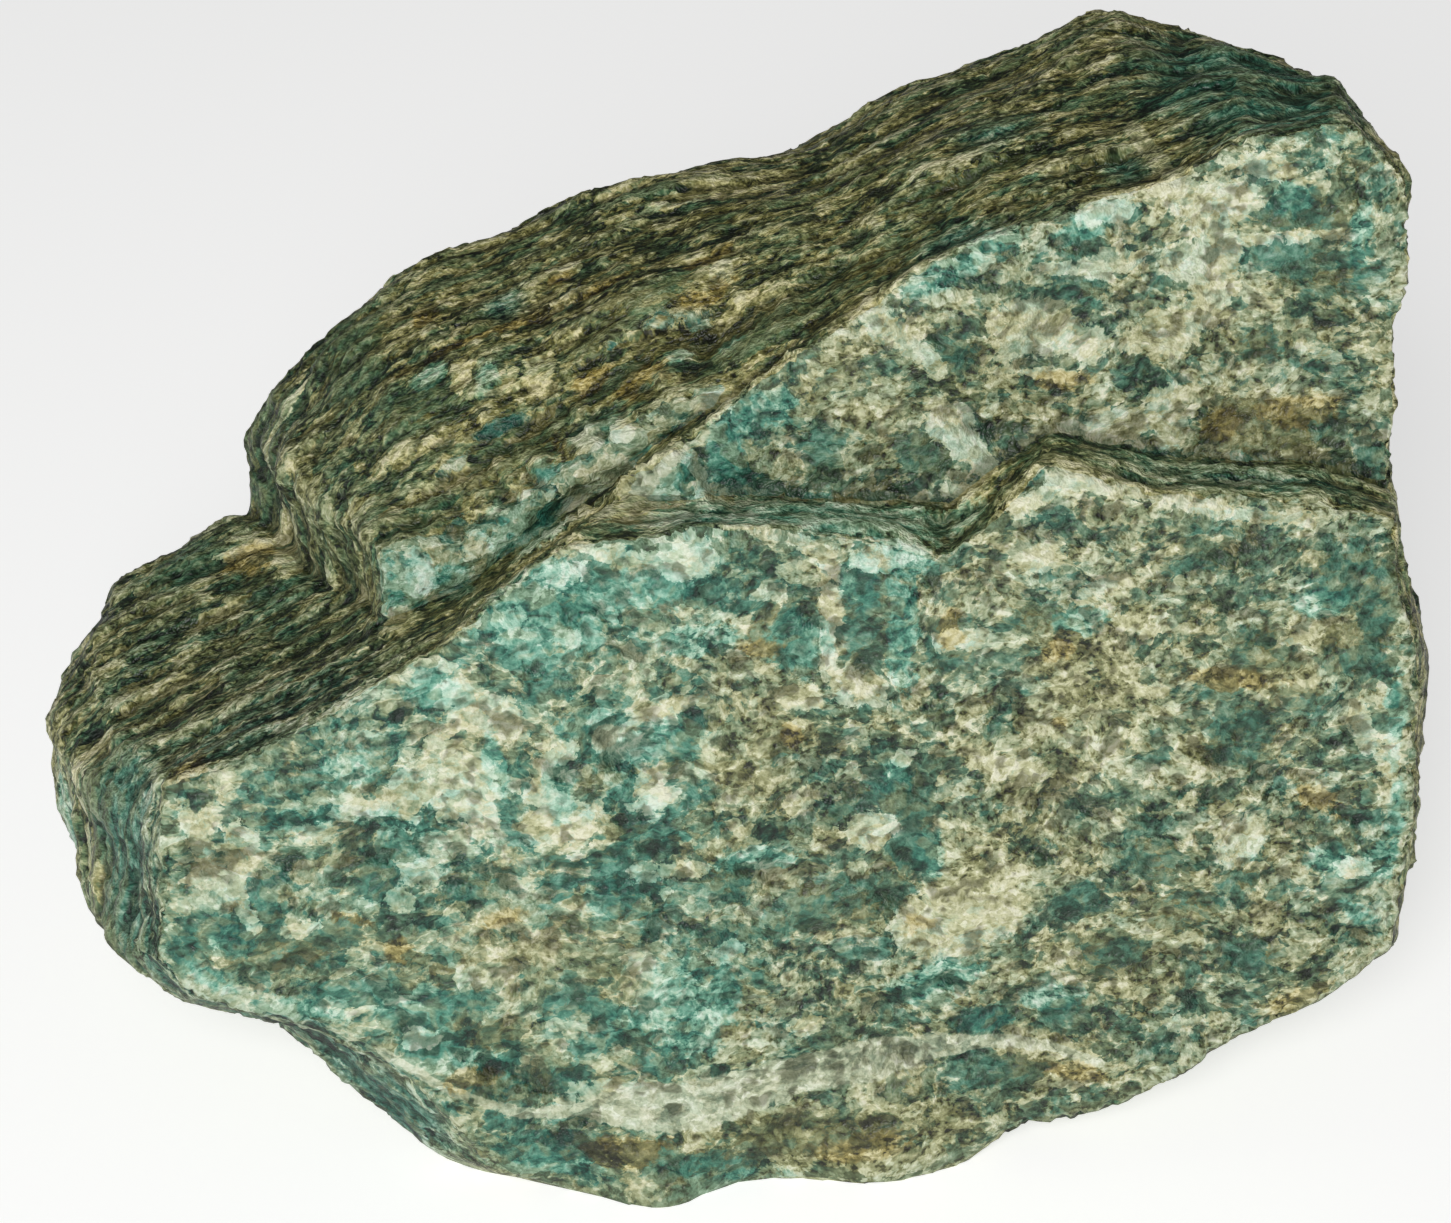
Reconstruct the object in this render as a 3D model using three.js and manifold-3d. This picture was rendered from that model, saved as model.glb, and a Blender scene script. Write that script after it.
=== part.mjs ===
// A rough hand specimen of amazonite, in millimetres, +Z up, resting on a small flat spot.
//
// The stone is one piece. It is a foliated rock that splits along parallel sheets, so it is drawn in
// the frame of those sheets: s runs along a sheet to the right, t runs up the sheet, and n is the
// distance in front of the big front cleavage face (n = 0). A block of stone is a stack of outlines,
// one in each of a few sheets, with the same corners in every outline. Three blocks make the stone:
// the foot block with the front face, the crown block that rises behind it, and the thin face sheet
// that still clings to the crown block's front.
import * as THREE from "three";
import { ImprovedNoise } from "three/addons/math/ImprovedNoise.js";
import { TessellateModifier } from "three/addons/modifiers/TessellateModifier.js";
import { mergeVertices } from "three/addons/utils/BufferGeometryUtils.js";
import Module from "manifold-3d";

// Driving dimensions, in millimetres unless they say degrees.
const SHEET_YAW = 7; // degrees that the front face is turned to the stone's own right
const SHEET_LEAN = 17; // degrees that the front face leans back
const FACE_HEIGHT = 54.6; // height of the front face's middle (s = 0, t = 0) over the table
const FOOT_BACK = -46; // n of the foot block's back face
const CROWN_BACK = -50; // n of the crown block's back face
const BACK_CHAMFER = 0.12; // share by which a block's last outline shrinks towards its middle
const LONGEST_EDGE = 7.5; // longest edge of a facet before the surface is roughened
const ROUGH_HEIGHT = 0.7; // how far the broken surface wanders in or out
const ROUGH_LENGTH = 11; // size of one of those hollows or swellings
const STEP_SHARE = 0.012; // how far a pack of sheets stands out, as a share of its distance from the middle
const STEP_LENGTH = 5; // thickness of such a pack of sheets
const BACK_SWELL = 7; // how far the broad back face swells and hollows
const BACK_SWELL_LENGTH = 27; // size of one of those swellings
const BACK_STARTS = -24; // n from which the swelling grows towards the back
const MIDDLE = [6, -10]; // s and t of the middle of the stone

// The foot block. Each row is one arris, with its [s, t] in the sheets n = 0, -7, -22 and -40.
const FOOT_SHEETS = [0, -7, -22, -40];
const FOOT_RIBS = [
  // The ledge at the left, from its outer corner in to the foot of the riser
  [[-49.5, -12.5], [-51.5, -13.5], [-57, -13], [-60, -11.5]],
  [[-37.5, -7.5], [-39, -8], [-46, -8], [-55.5, -5]],
  [[-26, -2], [-27, -3], [-34.5, -4], [-44, -0.5]],
  // The rim of the front face: the slanted groove, then the narrow ledge under the face sheet
  [[-19.5, 3.5], [-20.5, 1], [-25, -2], [-32, -2]],
  [[-14.5, 6.5], [-14, 5], [-15, 6], [-20, 7]],
  [[-6.5, 6.5], [-8, 8.5], [-8, 8], [-8, 9]],
  [[1.5, 7.5], [0, 8.5], [0, 8], [0, 9]],
  [[11, 6.5], [11.5, 8], [11, 7.5], [10, 9]],
  [[20, 3.5], [21.5, 6], [21, 6], [20, 9]],
  [[27.5, 11.5], [30.5, 12], [30, 11], [30, 9]],
  [[38.5, 8], [43, 9], [42, 8.5], [40, 8]],
  [[53.5, 6], [54, 8], [54, 7], [52, 6]],
  // The right end
  [[60.5, 4], [62.5, 4], [64, 2], [61.5, 1]],
  [[62.5, -12], [65, -12], [65.5, -13], [63, -14]],
  [[62.5, -28.5], [64.5, -31], [64.5, -28], [61, -26]],
  [[60.5, -38], [62.5, -40], [61, -37], [57, -32]],
  // The lower right edge, undercut, down to the flat spot
  [[52, -43.5], [53, -45], [51.5, -42], [47, -37]],
  [[37, -51.5], [38.5, -51], [37, -47], [34, -41]],
  [[25.5, -53], [27, -53.5], [26, -51], [24, -45.5]],
  // The foot: these arrises end a little below the table and are cut off flat there
  [[18.5, -58], [19.5, -59], [19, -55], [18, -49]],
  [[1, -58.5], [1.5, -60], [2, -56], [2, -50]],
  [[-10, -58.5], [-10, -60], [-9, -55.5], [-9, -49]],
  [[-21.5, -55], [-24, -57], [-22, -54], [-20, -48]],
  // The lower left edge, with a swelling behind the front rim
  [[-26, -47], [-31.5, -51], [-29, -49], [-26, -44]],
  [[-30.5, -41.5], [-36.5, -45.5], [-35, -45], [-33, -42]],
  [[-37, -37.5], [-41.5, -40], [-43, -41.5], [-43, -40]],
  [[-48.5, -33], [-52, -35], [-54.5, -37.5], [-54, -38]],
  // The left end face
  [[-53, -29.5], [-57, -31], [-60, -32.5], [-59, -34]],
  [[-50.5, -20.5], [-54, -21], [-60.5, -22], [-62, -24]],
  [[-50, -16], [-53, -16.5], [-61, -16.5], [-62, -17]],
];

// The crown block, with its arrises in the sheets n = -10, -22 and -40.
const CROWN_SHEETS = [-10, -22, -40];
const CROWN_RIBS = [
  // The riser over the ledge. Its foot ends inside the foot block.
  [[-24.5, -9], [-31.5, -11], [-41.5, -12]],
  [[-29.5, 4.5], [-35, 6], [-41.5, 7.5]],
  // The broken upper edge, which climbs to the peak
  [[-25, 6.5], [-32, 9.5], [-38.5, 12]],
  [[-20.5, 9], [-27.5, 13.5], [-34.5, 15.5]],
  [[-15, 12], [-18.5, 18.5], [-27, 21.5]],
  [[-9.5, 15], [-11, 22], [-17, 26]],
  [[-4, 16.5], [-3.5, 24.5], [-7, 29.5]],
  [[1.5, 17.5], [3, 26.5], [3, 31.5]],
  [[7.5, 21], [9.5, 29], [10.5, 32.5]],
  [[13.5, 24.5], [17, 31.5], [18, 34.5]],
  [[26, 30.5], [27, 35.5], [27, 37.5]],
  [[40.5, 34], [42.5, 38.5], [44.5, 43]],
  // The shoulder at the right of the peak
  [[48.5, 37], [52, 41], [52.5, 41.5]],
  [[57, 38], [60.5, 39], [61, 38.5]],
  [[62, 33], [64.5, 32.5], [65.5, 31.5]],
  // The right end
  [[62.5, 25], [64.5, 24], [64, 21]],
  [[62.5, 4], [64, 2], [61.5, 1]],
  // The lower edge. It is inside the foot block but for the back, where it is a low ragged step.
  [[60, -10], [60, -11], [57, -12]],
  [[38, -10], [38, -12], [36, -17]],
  [[14, -10], [14, -14], [12, -24]],
  [[-8, -10], [-10, -14], [-16, -17]],
];

// The face sheet, with its arrises in the sheets n = -7 and n = -14.
const FACE_SHEETS = [-7, -14];
const FACE_RIBS = [
  [[-9.5, 8], [-8, 7]],
  [[-5.5, 11.5], [-4.5, 10.5]],
  [[0.5, 16], [1.5, 15.5]],
  [[7.5, 21.5], [8.5, 21]],
  [[13.5, 25], [14.5, 24.5]],
  [[26, 31], [26.5, 30.5]],
  [[40.5, 34.5], [40.5, 34]],
  [[48.5, 37.5], [48.5, 37]],
  [[57, 38.5], [56.5, 38]],
  [[62.5, 33.5], [62, 33]],
  [[62.5, 26], [62, 25]],
  [[62.5, 3], [62, 3]],
  [[60, -5], [59, -5]],
  [[-4, -5], [-3, -5]],
];

const wasm = await Module();
wasm.setup();
const noise = new ImprovedNoise();

// The last outline of a block, shrunk towards the block's middle to take the edge off its back.
function chamferedBack(ribs) {
  const last = ribs.map((rib) => new THREE.Vector2(...rib.at(-1)));
  const middle = new THREE.Vector2();
  last.forEach((corner) => middle.addScaledVector(corner, 1 / last.length));
  return last.map((corner) => corner.lerp(middle, BACK_CHAMFER).toArray());
}

// The triangles that close an outline, all turned to face +n.
function capTriangles(outline) {
  const corners = outline.map((corner) => new THREE.Vector2(...corner));
  return THREE.ShapeUtils.triangulateShape(corners, []).map((triangle) => {
    const facesFront = !THREE.ShapeUtils.isClockWise(triangle.map((corner) => corners[corner]));
    return facesFront ? triangle : [...triangle].reverse();
  });
}

// A closed block of stone from its sheets, front to back, and its arrises, clockwise from the front.
function blockGeometry(sheets, ribs, backDepth = null) {
  const levels = [...sheets];
  const outlines = sheets.map((_, level) => ribs.map((rib) => rib[level]));
  if (backDepth !== null) {
    levels.push(backDepth);
    outlines.push(chamferedBack(ribs));
  }
  const corners = ribs.length;
  const positions = outlines.flatMap((outline, level) =>
    outline.flatMap(([s, t]) => [s, t, levels[level]]),
  );
  const triangles = [];
  for (let level = 0; level < levels.length - 1; level += 1) {
    for (let corner = 0; corner < corners; corner += 1) {
      const a = level * corners + corner;
      const b = level * corners + ((corner + 1) % corners);
      triangles.push(a, b, b + corners);
      triangles.push(a, b + corners, a + corners);
    }
  }
  const lastLevel = (levels.length - 1) * corners;
  capTriangles(outlines[0]).forEach((triangle) => triangles.push(...triangle));
  capTriangles(outlines.at(-1)).forEach(([a, b, c]) =>
    triangles.push(lastLevel + c, lastLevel + b, lastLevel + a),
  );
  const geometry = new THREE.BufferGeometry();
  geometry.setAttribute("position", new THREE.Float32BufferAttribute(positions, 3));
  geometry.setIndex(triangles);
  return geometry;
}

function solidFrom(geometry) {
  const plain = geometry.clone();
  plain.deleteAttribute("normal");
  plain.deleteAttribute("uv");
  const merged = mergeVertices(plain, 1e-4);
  const vertProperties = merged.attributes.position.array;
  const triVerts = new Uint32Array(merged.index.array);
  return new wasm.Manifold(new wasm.Mesh({ numProp: 3, vertProperties, triVerts }));
}

function geometryFrom(solid) {
  const mesh = solid.getMesh();
  const geometry = new THREE.BufferGeometry();
  geometry.setAttribute("position", new THREE.BufferAttribute(mesh.vertProperties, 3));
  geometry.setIndex(new THREE.BufferAttribute(mesh.triVerts, 1));
  return geometry;
}

// Splits every long edge, so that the facets are small enough to carry the rough surface.
function splitLongEdges(geometry) {
  const rounds = 12;
  const split = new TessellateModifier(LONGEST_EDGE, rounds).modify(geometry);
  return mergeVertices(split, 1e-4);
}

// Moves each point by a smooth wandering field, which keeps the surface closed and free of folds, and
// lets packs of sheets stand in and out of the stone's outline.
function roughen(geometry) {
  const position = geometry.attributes.position;
  const point = new THREE.Vector3();
  const wander = (p, seed) =>
    noise.noise(p.x / ROUGH_LENGTH + seed, p.y / ROUGH_LENGTH, p.z / ROUGH_LENGTH - seed);
  for (let i = 0; i < position.count; i += 1) {
    point.fromBufferAttribute(position, i);
    const step = STEP_SHARE * noise.noise(0.5, 7.3, point.z / STEP_LENGTH);
    const backness = THREE.MathUtils.smoothstep(-point.z, -BACK_STARTS, -FOOT_BACK);
    const hollow = noise.noise(point.x / BACK_SWELL_LENGTH, point.y / BACK_SWELL_LENGTH, 5.1);
    const shift = new THREE.Vector3(
      2 * ROUGH_HEIGHT * wander(point, 3.7) + step * (point.x - MIDDLE[0]),
      2 * ROUGH_HEIGHT * wander(point, 11.2) + step * (point.y - MIDDLE[1]),
      ROUGH_HEIGHT * wander(point, 23.9) + BACK_SWELL * backness * hollow,
    );
    point.add(shift);
    position.setXYZ(i, point.x, point.y, point.z);
  }
  return geometry;
}

// Stands the stone up: its sheets turn and lean, and the middle of its front face rises.
function standUp(geometry) {
  geometry.rotateX(Math.PI / 2 - THREE.MathUtils.degToRad(SHEET_LEAN));
  geometry.rotateZ(THREE.MathUtils.degToRad(SHEET_YAW));
  geometry.translate(0, 0, FACE_HEIGHT);
  return geometry;
}

// Cuts off everything below the table, which leaves the small flat spot that the stone rests on.
function cutFlatSpot(solid) {
  const side = 400;
  const under = new THREE.BoxGeometry(side, side, side);
  under.translate(0, 0, -side / 2);
  return solid.subtract(solidFrom(under));
}

function stoneGeometry() {
  const foot = solidFrom(blockGeometry(FOOT_SHEETS, FOOT_RIBS, FOOT_BACK));
  const crown = solidFrom(blockGeometry(CROWN_SHEETS, CROWN_RIBS, CROWN_BACK));
  const face = solidFrom(blockGeometry(FACE_SHEETS, FACE_RIBS));
  const whole = geometryFrom(foot.add(crown).add(face));
  const rough = standUp(roughen(splitLongEdges(whole)));
  const stone = geometryFrom(cutFlatSpot(solidFrom(rough)));
  stone.computeBoundingBox();
  const centre = stone.boundingBox.getCenter(new THREE.Vector3());
  stone.translate(-centre.x, -centre.y, -stone.boundingBox.min.z);
  stone.computeVertexNormals();
  return stone;
}

const amazonite = new THREE.MeshStandardMaterial({
  color: 0x85957b,
  roughness: 0.55,
  metalness: 0,
  flatShading: true,
});

const stone = new THREE.Mesh(stoneGeometry(), amazonite);
stone.name = "amazonite_stone";

const specimen = new THREE.Group();
specimen.name = "rough_amazonite";
specimen.add(stone);

export default specimen;
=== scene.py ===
# %% [markdown]
# # Rough amazonite
#
# Amazonite is a blue-green feldspar. This lump comes from a sheeted rock: its crystals lie
# in thin leaves, like the pages of a wet book. Where it split along the leaves it is broad
# and flat, and where it broke across them it shows the edges of hundreds of leaves.
#
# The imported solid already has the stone's true outline, its two ledges and its flat resting
# spot. Here it is only the start: a copy of it gets the ragged leaf edges, the chips and the
# minerals. The solid itself stays as it is.

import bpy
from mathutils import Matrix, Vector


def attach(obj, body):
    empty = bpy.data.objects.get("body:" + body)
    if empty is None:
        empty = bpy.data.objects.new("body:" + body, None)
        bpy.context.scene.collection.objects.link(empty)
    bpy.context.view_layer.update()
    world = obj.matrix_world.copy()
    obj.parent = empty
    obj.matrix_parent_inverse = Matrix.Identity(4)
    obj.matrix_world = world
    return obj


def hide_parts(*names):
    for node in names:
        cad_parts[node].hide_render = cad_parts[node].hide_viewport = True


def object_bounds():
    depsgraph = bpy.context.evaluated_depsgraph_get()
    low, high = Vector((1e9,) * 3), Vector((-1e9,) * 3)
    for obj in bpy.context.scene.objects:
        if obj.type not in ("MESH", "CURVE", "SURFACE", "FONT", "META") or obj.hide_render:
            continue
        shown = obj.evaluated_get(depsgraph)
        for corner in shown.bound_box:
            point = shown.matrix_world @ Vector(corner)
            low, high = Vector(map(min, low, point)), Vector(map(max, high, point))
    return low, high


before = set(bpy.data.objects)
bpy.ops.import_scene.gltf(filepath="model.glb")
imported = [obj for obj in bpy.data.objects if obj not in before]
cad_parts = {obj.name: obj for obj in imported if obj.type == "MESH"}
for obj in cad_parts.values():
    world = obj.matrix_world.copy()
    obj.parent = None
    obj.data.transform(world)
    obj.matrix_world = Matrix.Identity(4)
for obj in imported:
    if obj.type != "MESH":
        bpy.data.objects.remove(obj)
cad_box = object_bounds()
cad_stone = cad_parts["amazonite_stone"]
print("packed stone:", len(cad_stone.data.polygons), "triangles")

# %% [markdown]
# ## The sheet frame
#
# Everything on this stone follows its leaves, so it pays to measure along them. The leaves
# lean back 17 degrees and are turned 7 degrees. `s` runs along a leaf, `t` runs up it, and
# `n` runs through the leaves towards the front. All three are in millimetres from the
# middle of the front face.

# %% Measure along the leaves
import math

import bpy
import numpy as np
from mathutils import Vector

SHEET_YAW = math.radians(7)
SHEET_LEAN = math.radians(17)
FACE_MIDDLE = Vector((0.000557, -0.024780, 0.054600))
MILLIMETRE = 0.001

ALONG = Vector((math.cos(SHEET_YAW), math.sin(SHEET_YAW), 0))
THROUGH = Vector((math.sin(SHEET_YAW) * math.cos(SHEET_LEAN),
                  -math.cos(SHEET_YAW) * math.cos(SHEET_LEAN),
                  math.sin(SHEET_LEAN)))
UP_LEAF = THROUGH.cross(ALONG)
LEAF_AXES = np.array([ALONG, UP_LEAF, THROUGH])


def in_leaves(points):
    """Row-frame points in metres as (s, t, n) in millimetres."""
    return (points - np.array(FACE_MIDDLE)) @ LEAF_AXES.T / MILLIMETRE


low, high = (np.array(corner) for corner in cad_box)
print("stone is", np.round((high - low) / MILLIMETRE, 1), "mm")

# %% [markdown]
# ## The camera
#
# The camera looks down 36 degrees from 32 cm away, straight at the middle of the front
# face. It comes early, so that every later step can be looked at as it is made.

# %% Set up the camera
CAMERA_HEIGHT_ANGLE = math.radians(36)
CAMERA_DISTANCE = 0.32
CAMERA_LENS = 90.51
NEAREST_SEEN = 0.01

camera = bpy.data.objects.new("camera", bpy.data.cameras.new("camera"))
camera.data.lens = CAMERA_LENS
camera.data.clip_start = NEAREST_SEEN
towards_camera = Vector((0, -math.cos(CAMERA_HEIGHT_ANGLE), math.sin(CAMERA_HEIGHT_ANGLE)))
camera.location = FACE_MIDDLE + CAMERA_DISTANCE * towards_camera
camera.rotation_euler = (math.pi / 2 - CAMERA_HEIGHT_ANGLE, 0, 0)
bpy.context.scene.collection.objects.link(camera)
bpy.context.scene.camera = camera
print("camera at", np.round(np.array(camera.location), 3))

# %% [markdown]
# ## From facets to stone
#
# The solid has flat facets some millimetres wide. A voxel remesh rebuilds its skin from
# small even squares, fine enough to carry a broken leaf edge, and keeps it closed. A
# subdivision would also make small faces, but it would keep the long thin ones long.

# %% Rebuild the skin in small even faces
import bmesh

VOXEL = 0.00043
WELD_GAP = 1e-6


def apply_modifiers(piece):
    """Replaces the piece's mesh with its modified one and clears the modifiers."""
    depsgraph = bpy.context.evaluated_depsgraph_get()
    finished = bpy.data.meshes.new_from_object(piece.evaluated_get(depsgraph))
    piece.modifiers.clear()
    piece.data = finished


stone = bpy.data.objects.new("rough_amazonite", cad_stone.data.copy())
bpy.context.scene.collection.objects.link(stone)
weld = bmesh.new()
weld.from_mesh(stone.data)
bmesh.ops.remove_doubles(weld, verts=weld.verts, dist=WELD_GAP)
weld.to_mesh(stone.data)
weld.free()

remesh = stone.modifiers.new("even skin", "REMESH")
remesh.mode = "VOXEL"
remesh.voxel_size = VOXEL
apply_modifiers(stone)
print("even skin:", len(stone.data.vertices), "points")


# %% [markdown]
# ## Shapes that follow no rule
#
# A few shapes are this stone's own: cracks where the front face drops by part of a leaf, a
# flight of three steps with a groove at its foot, a lower edge that rolls away. Each is
# pressed in along `n`. The press squeezes the rock between a top and a floor, as a thumb
# does clay, so that the skin never folds over itself. A few corners are then moved as a
# whole by soft bulges. Modelling them by hand would give the same shapes, but the lines and
# numbers here can be read and changed.

# %% Read the skin and press it
def read_points(mesh):
    """The mesh's points as rows of x, y and z."""
    flat = np.empty(len(mesh.vertices) * 3, np.float32)
    mesh.vertices.foreach_get("co", flat)
    return flat.reshape(-1, 3).astype(float)


def press(spots, drop, top, floor):
    """Moves spots between floor and top towards the floor, by drop at the top."""
    share = np.clip((spots[:, 2] - floor) / (top - floor), 0, 1)
    spots[:, 2] -= drop * share


def beside_line(s, t, line):
    """Signed distance to a line of short straights, in millimetres; positive on its left."""
    nearest = np.full(len(s), 1e9)
    signed = np.full(len(s), 1e9)
    for (s0, t0), (s1, t1) in zip(line, line[1:]):
        length = math.hypot(s1 - s0, t1 - t0)
        along = ((s - s0) * (s1 - s0) + (t - t0) * (t1 - t0)) / length
        across = ((t - t0) * (s1 - s0) - (s - s0) * (t1 - t0)) / length
        beyond = np.maximum(np.maximum(-along, along - length), 0)
        distance = np.hypot(across, beyond)
        closer = distance < nearest
        nearest = np.where(closer, distance, nearest)
        signed = np.where(closer, np.where(across < 0, -1, 1) * distance, signed)
    return signed


RISER_RUN = 0.4
spots = in_leaves(read_points(stone.data))
s, t, n = spots.T.copy()
# A wobble that keeps the lines from running straight.
ragged = 0.35 * np.sin(s * 1.9 + 2 * np.sin(t * 1.3)) + 0.3 * np.sin(t * 2.3 + s)
print("lines wobble by up to", round(float(np.abs(ragged).max()), 2), "mm")

# %% Press in the cracks
# Each step: its drop, its reach, the press's top and floor, the lowest and highest n it
# touches, and its line.
CRACK_STEP, CRACK_REACH = 0.5, 7.0
STEP_LINES = [(-0.9, 8, (-6.5, -12), (-12, -6), [
    (1.5, 7), (0, 8.2), (-1.1, 9.9), (-2.1, 11.9), (-3.1, 13.4), (-3.5, 15)])]
for crack in [
    [(-12.4, -7), (-12, -13), (-10.6, -17), (-11.2, -21), (-8, -27), (-9, -32)],
    [(-20, -10), (-16, -14.6), (-12, -15.4), (-6.5, -12), (-3, -9)],
    [(1, -5), (5, -6.2), (9.5, -5.6), (14, -10), (21, -10.6), (31, -15), (42, -21)],
    [(-45, -34), (-39, -30.5), (-34, -33), (-30, -40), (-20, -44.6)],
    [(24, -27), (32, -22), (36, -14), (44, -19), (55, -24)],
    [(-3, -24), (4, -27.5), (10, -26.5), (16, -31)],
    [(12, -40), (20, -38), (28, -41), (40, -37), (50, -39)],
    [(-50, -22), (-42, -20), (-36, -23), (-27, -20), (-22, -24)],
]:
    STEP_LINES.append((CRACK_STEP, CRACK_REACH, (0.5, -6), (-6, 9), crack))

for drop, reach, (top, floor), (lowest, highest), line in STEP_LINES:
    side = beside_line(s, t, line) + ragged
    fall = drop * np.clip(1 - side / reach, 0, 1) * np.clip(side / RISER_RUN, 0, 1)
    press(spots, fall * (n > lowest) * (n < highest), top, floor)
print(len(STEP_LINES), "low steps pressed in")

# %% Press in the flight of steps, the groove and the rolled edge
FLIGHT_FOOT = [(-31, 5.6), (-25.2, 4.6), (-21.6, 5.1), (-17, 7.9), (-13.3, 10), (-7.8, 13.3),
               (-2, 17)]
FLIGHT_RISERS = [(0, 1.5), (1.5, 1.2), (2.9, 1.2)]
FLIGHT_TREAD, FLIGHT_FADE = 4, 14
SHELF_TOP, SHELF_FLOOR = -9.5, -22
side = beside_line(s, t, FLIGHT_FOOT) + ragged
fall = sum(rise * np.clip((side - start) / RISER_RUN, 0, 1) for start, rise in FLIGHT_RISERS)
fall *= np.clip(1 - (side - FLIGHT_TREAD) / FLIGHT_FADE, 0, 1) * (n > SHELF_FLOOR) * (n < -8)
press(spots, fall, SHELF_TOP, SHELF_FLOOR)

GROOVE_LINE = [(-27.5, -1.6), (-23.6, 1.4), (-19.3, 4.4), (-14.6, 8.4), (-9.5, 11.1),
               (-6, 13.2), (-2.4, 15.2), (1.2, 16.3)]
GROOVE_DEPTH, GROOVE_WIDTH = 3.2, 3.4
side = -beside_line(s, t, GROOVE_LINE) + ragged * 0.5
fall = GROOVE_DEPTH * np.clip(side / GROOVE_WIDTH, 0, 1) * (side < 6) * (n > -14) * (n < -8.3)
press(spots, fall, SHELF_TOP, SHELF_FLOOR)

ROLL_START, ROLL_BEND = -46, 0.018
roll = np.clip(ROLL_START - t, 0, None)
press(spots, ROLL_BEND * roll ** 2 * (n > -7), 0.5, -9)
print("the lower edge rolls back by up to", round(float(ROLL_BEND * roll.max() ** 2), 2), "mm")

# %% Move a few corners, and put the points back
# Each bulge: its middle, its radius and how far it pushes along s, t and n.
BULGES = [
    (61.5, 31, -14, 9, (0.9, 0.2, 0)), (61.5, -12, -12, 12, (0.8, 0, 0)),
    (55, -39, -10, 8, (1.1, -1, 0)), (-31, 22, -38, 10, (-0.6, 0.6, 0)),
    (-27, -2.5, -12, 3.6, (-2.6, 0, 0)), (-8, -58.5, -3, 5.5, (-0.3, -0.8, 3.6)),
    (13, -57.5, -3, 8, (-0.2, -0.55, 2.4)), (-57, -27, -15, 7, (1.3, 0, 0)),
    (13, 33, -36, 9, (0, -0.9, 0)), (-15, 24.5, -34, 7, (0.3, -1, 0)),
    (58, 38, -30, 8, (-0.7, -0.5, 0)), (-36.5, 7.5, -27, 3.6, (-0.7, 1.5, 0)),
]
for bulge_s, bulge_t, bulge_n, radius, bulge_push in BULGES:
    away = (s - bulge_s) ** 2 + (t - bulge_t) ** 2 + ((n - bulge_n) / 2) ** 2
    spots += np.exp(-away / radius ** 2)[:, None] * bulge_push

shaped = np.array(FACE_MIDDLE) + spots @ LEAF_AXES * MILLIMETRE
shaped[:, 2] = np.maximum(shaped[:, 2], 0)
moved = np.abs(shaped - read_points(stone.data)).max() / MILLIMETRE
stone.data.vertices.foreach_set("co", shaped.astype(np.float32).ravel())
stone.data.update()
print("pressed in by up to", round(float(moved), 2), "mm")

# %% [markdown]
# ## A small language for nodes
#
# Both the relief and the finish are made of nodes. Written one by one, nodes hide the sum
# that they stand for. `Signal` wraps a socket, so that `height * 2 + noise` builds the Math
# nodes by itself, and `Graph.node` makes any other node from its type, its settings and its
# inputs.

# %% Wrap sockets so that they add and multiply
class Signal:
    """A node's output that can be used in a sum."""

    def __init__(self, graph, socket):
        self.graph = graph
        self.socket = socket

    def __add__(self, other):
        return self.graph.sum("ADD", self, other)

    def __sub__(self, other):
        return self.graph.sum("SUBTRACT", self, other)

    def __rsub__(self, other):
        return self.graph.sum("SUBTRACT", other, self)

    def __mul__(self, other):
        return self.graph.sum("MULTIPLY", self, other)

    def __truediv__(self, other):
        return self.graph.sum("DIVIDE", self, other)

    __radd__ = __add__
    __rmul__ = __mul__


def is_vector(value):
    if isinstance(value, Signal):
        return value.socket.type in ("VECTOR", "RGBA")
    return hasattr(value, "__len__")


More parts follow.
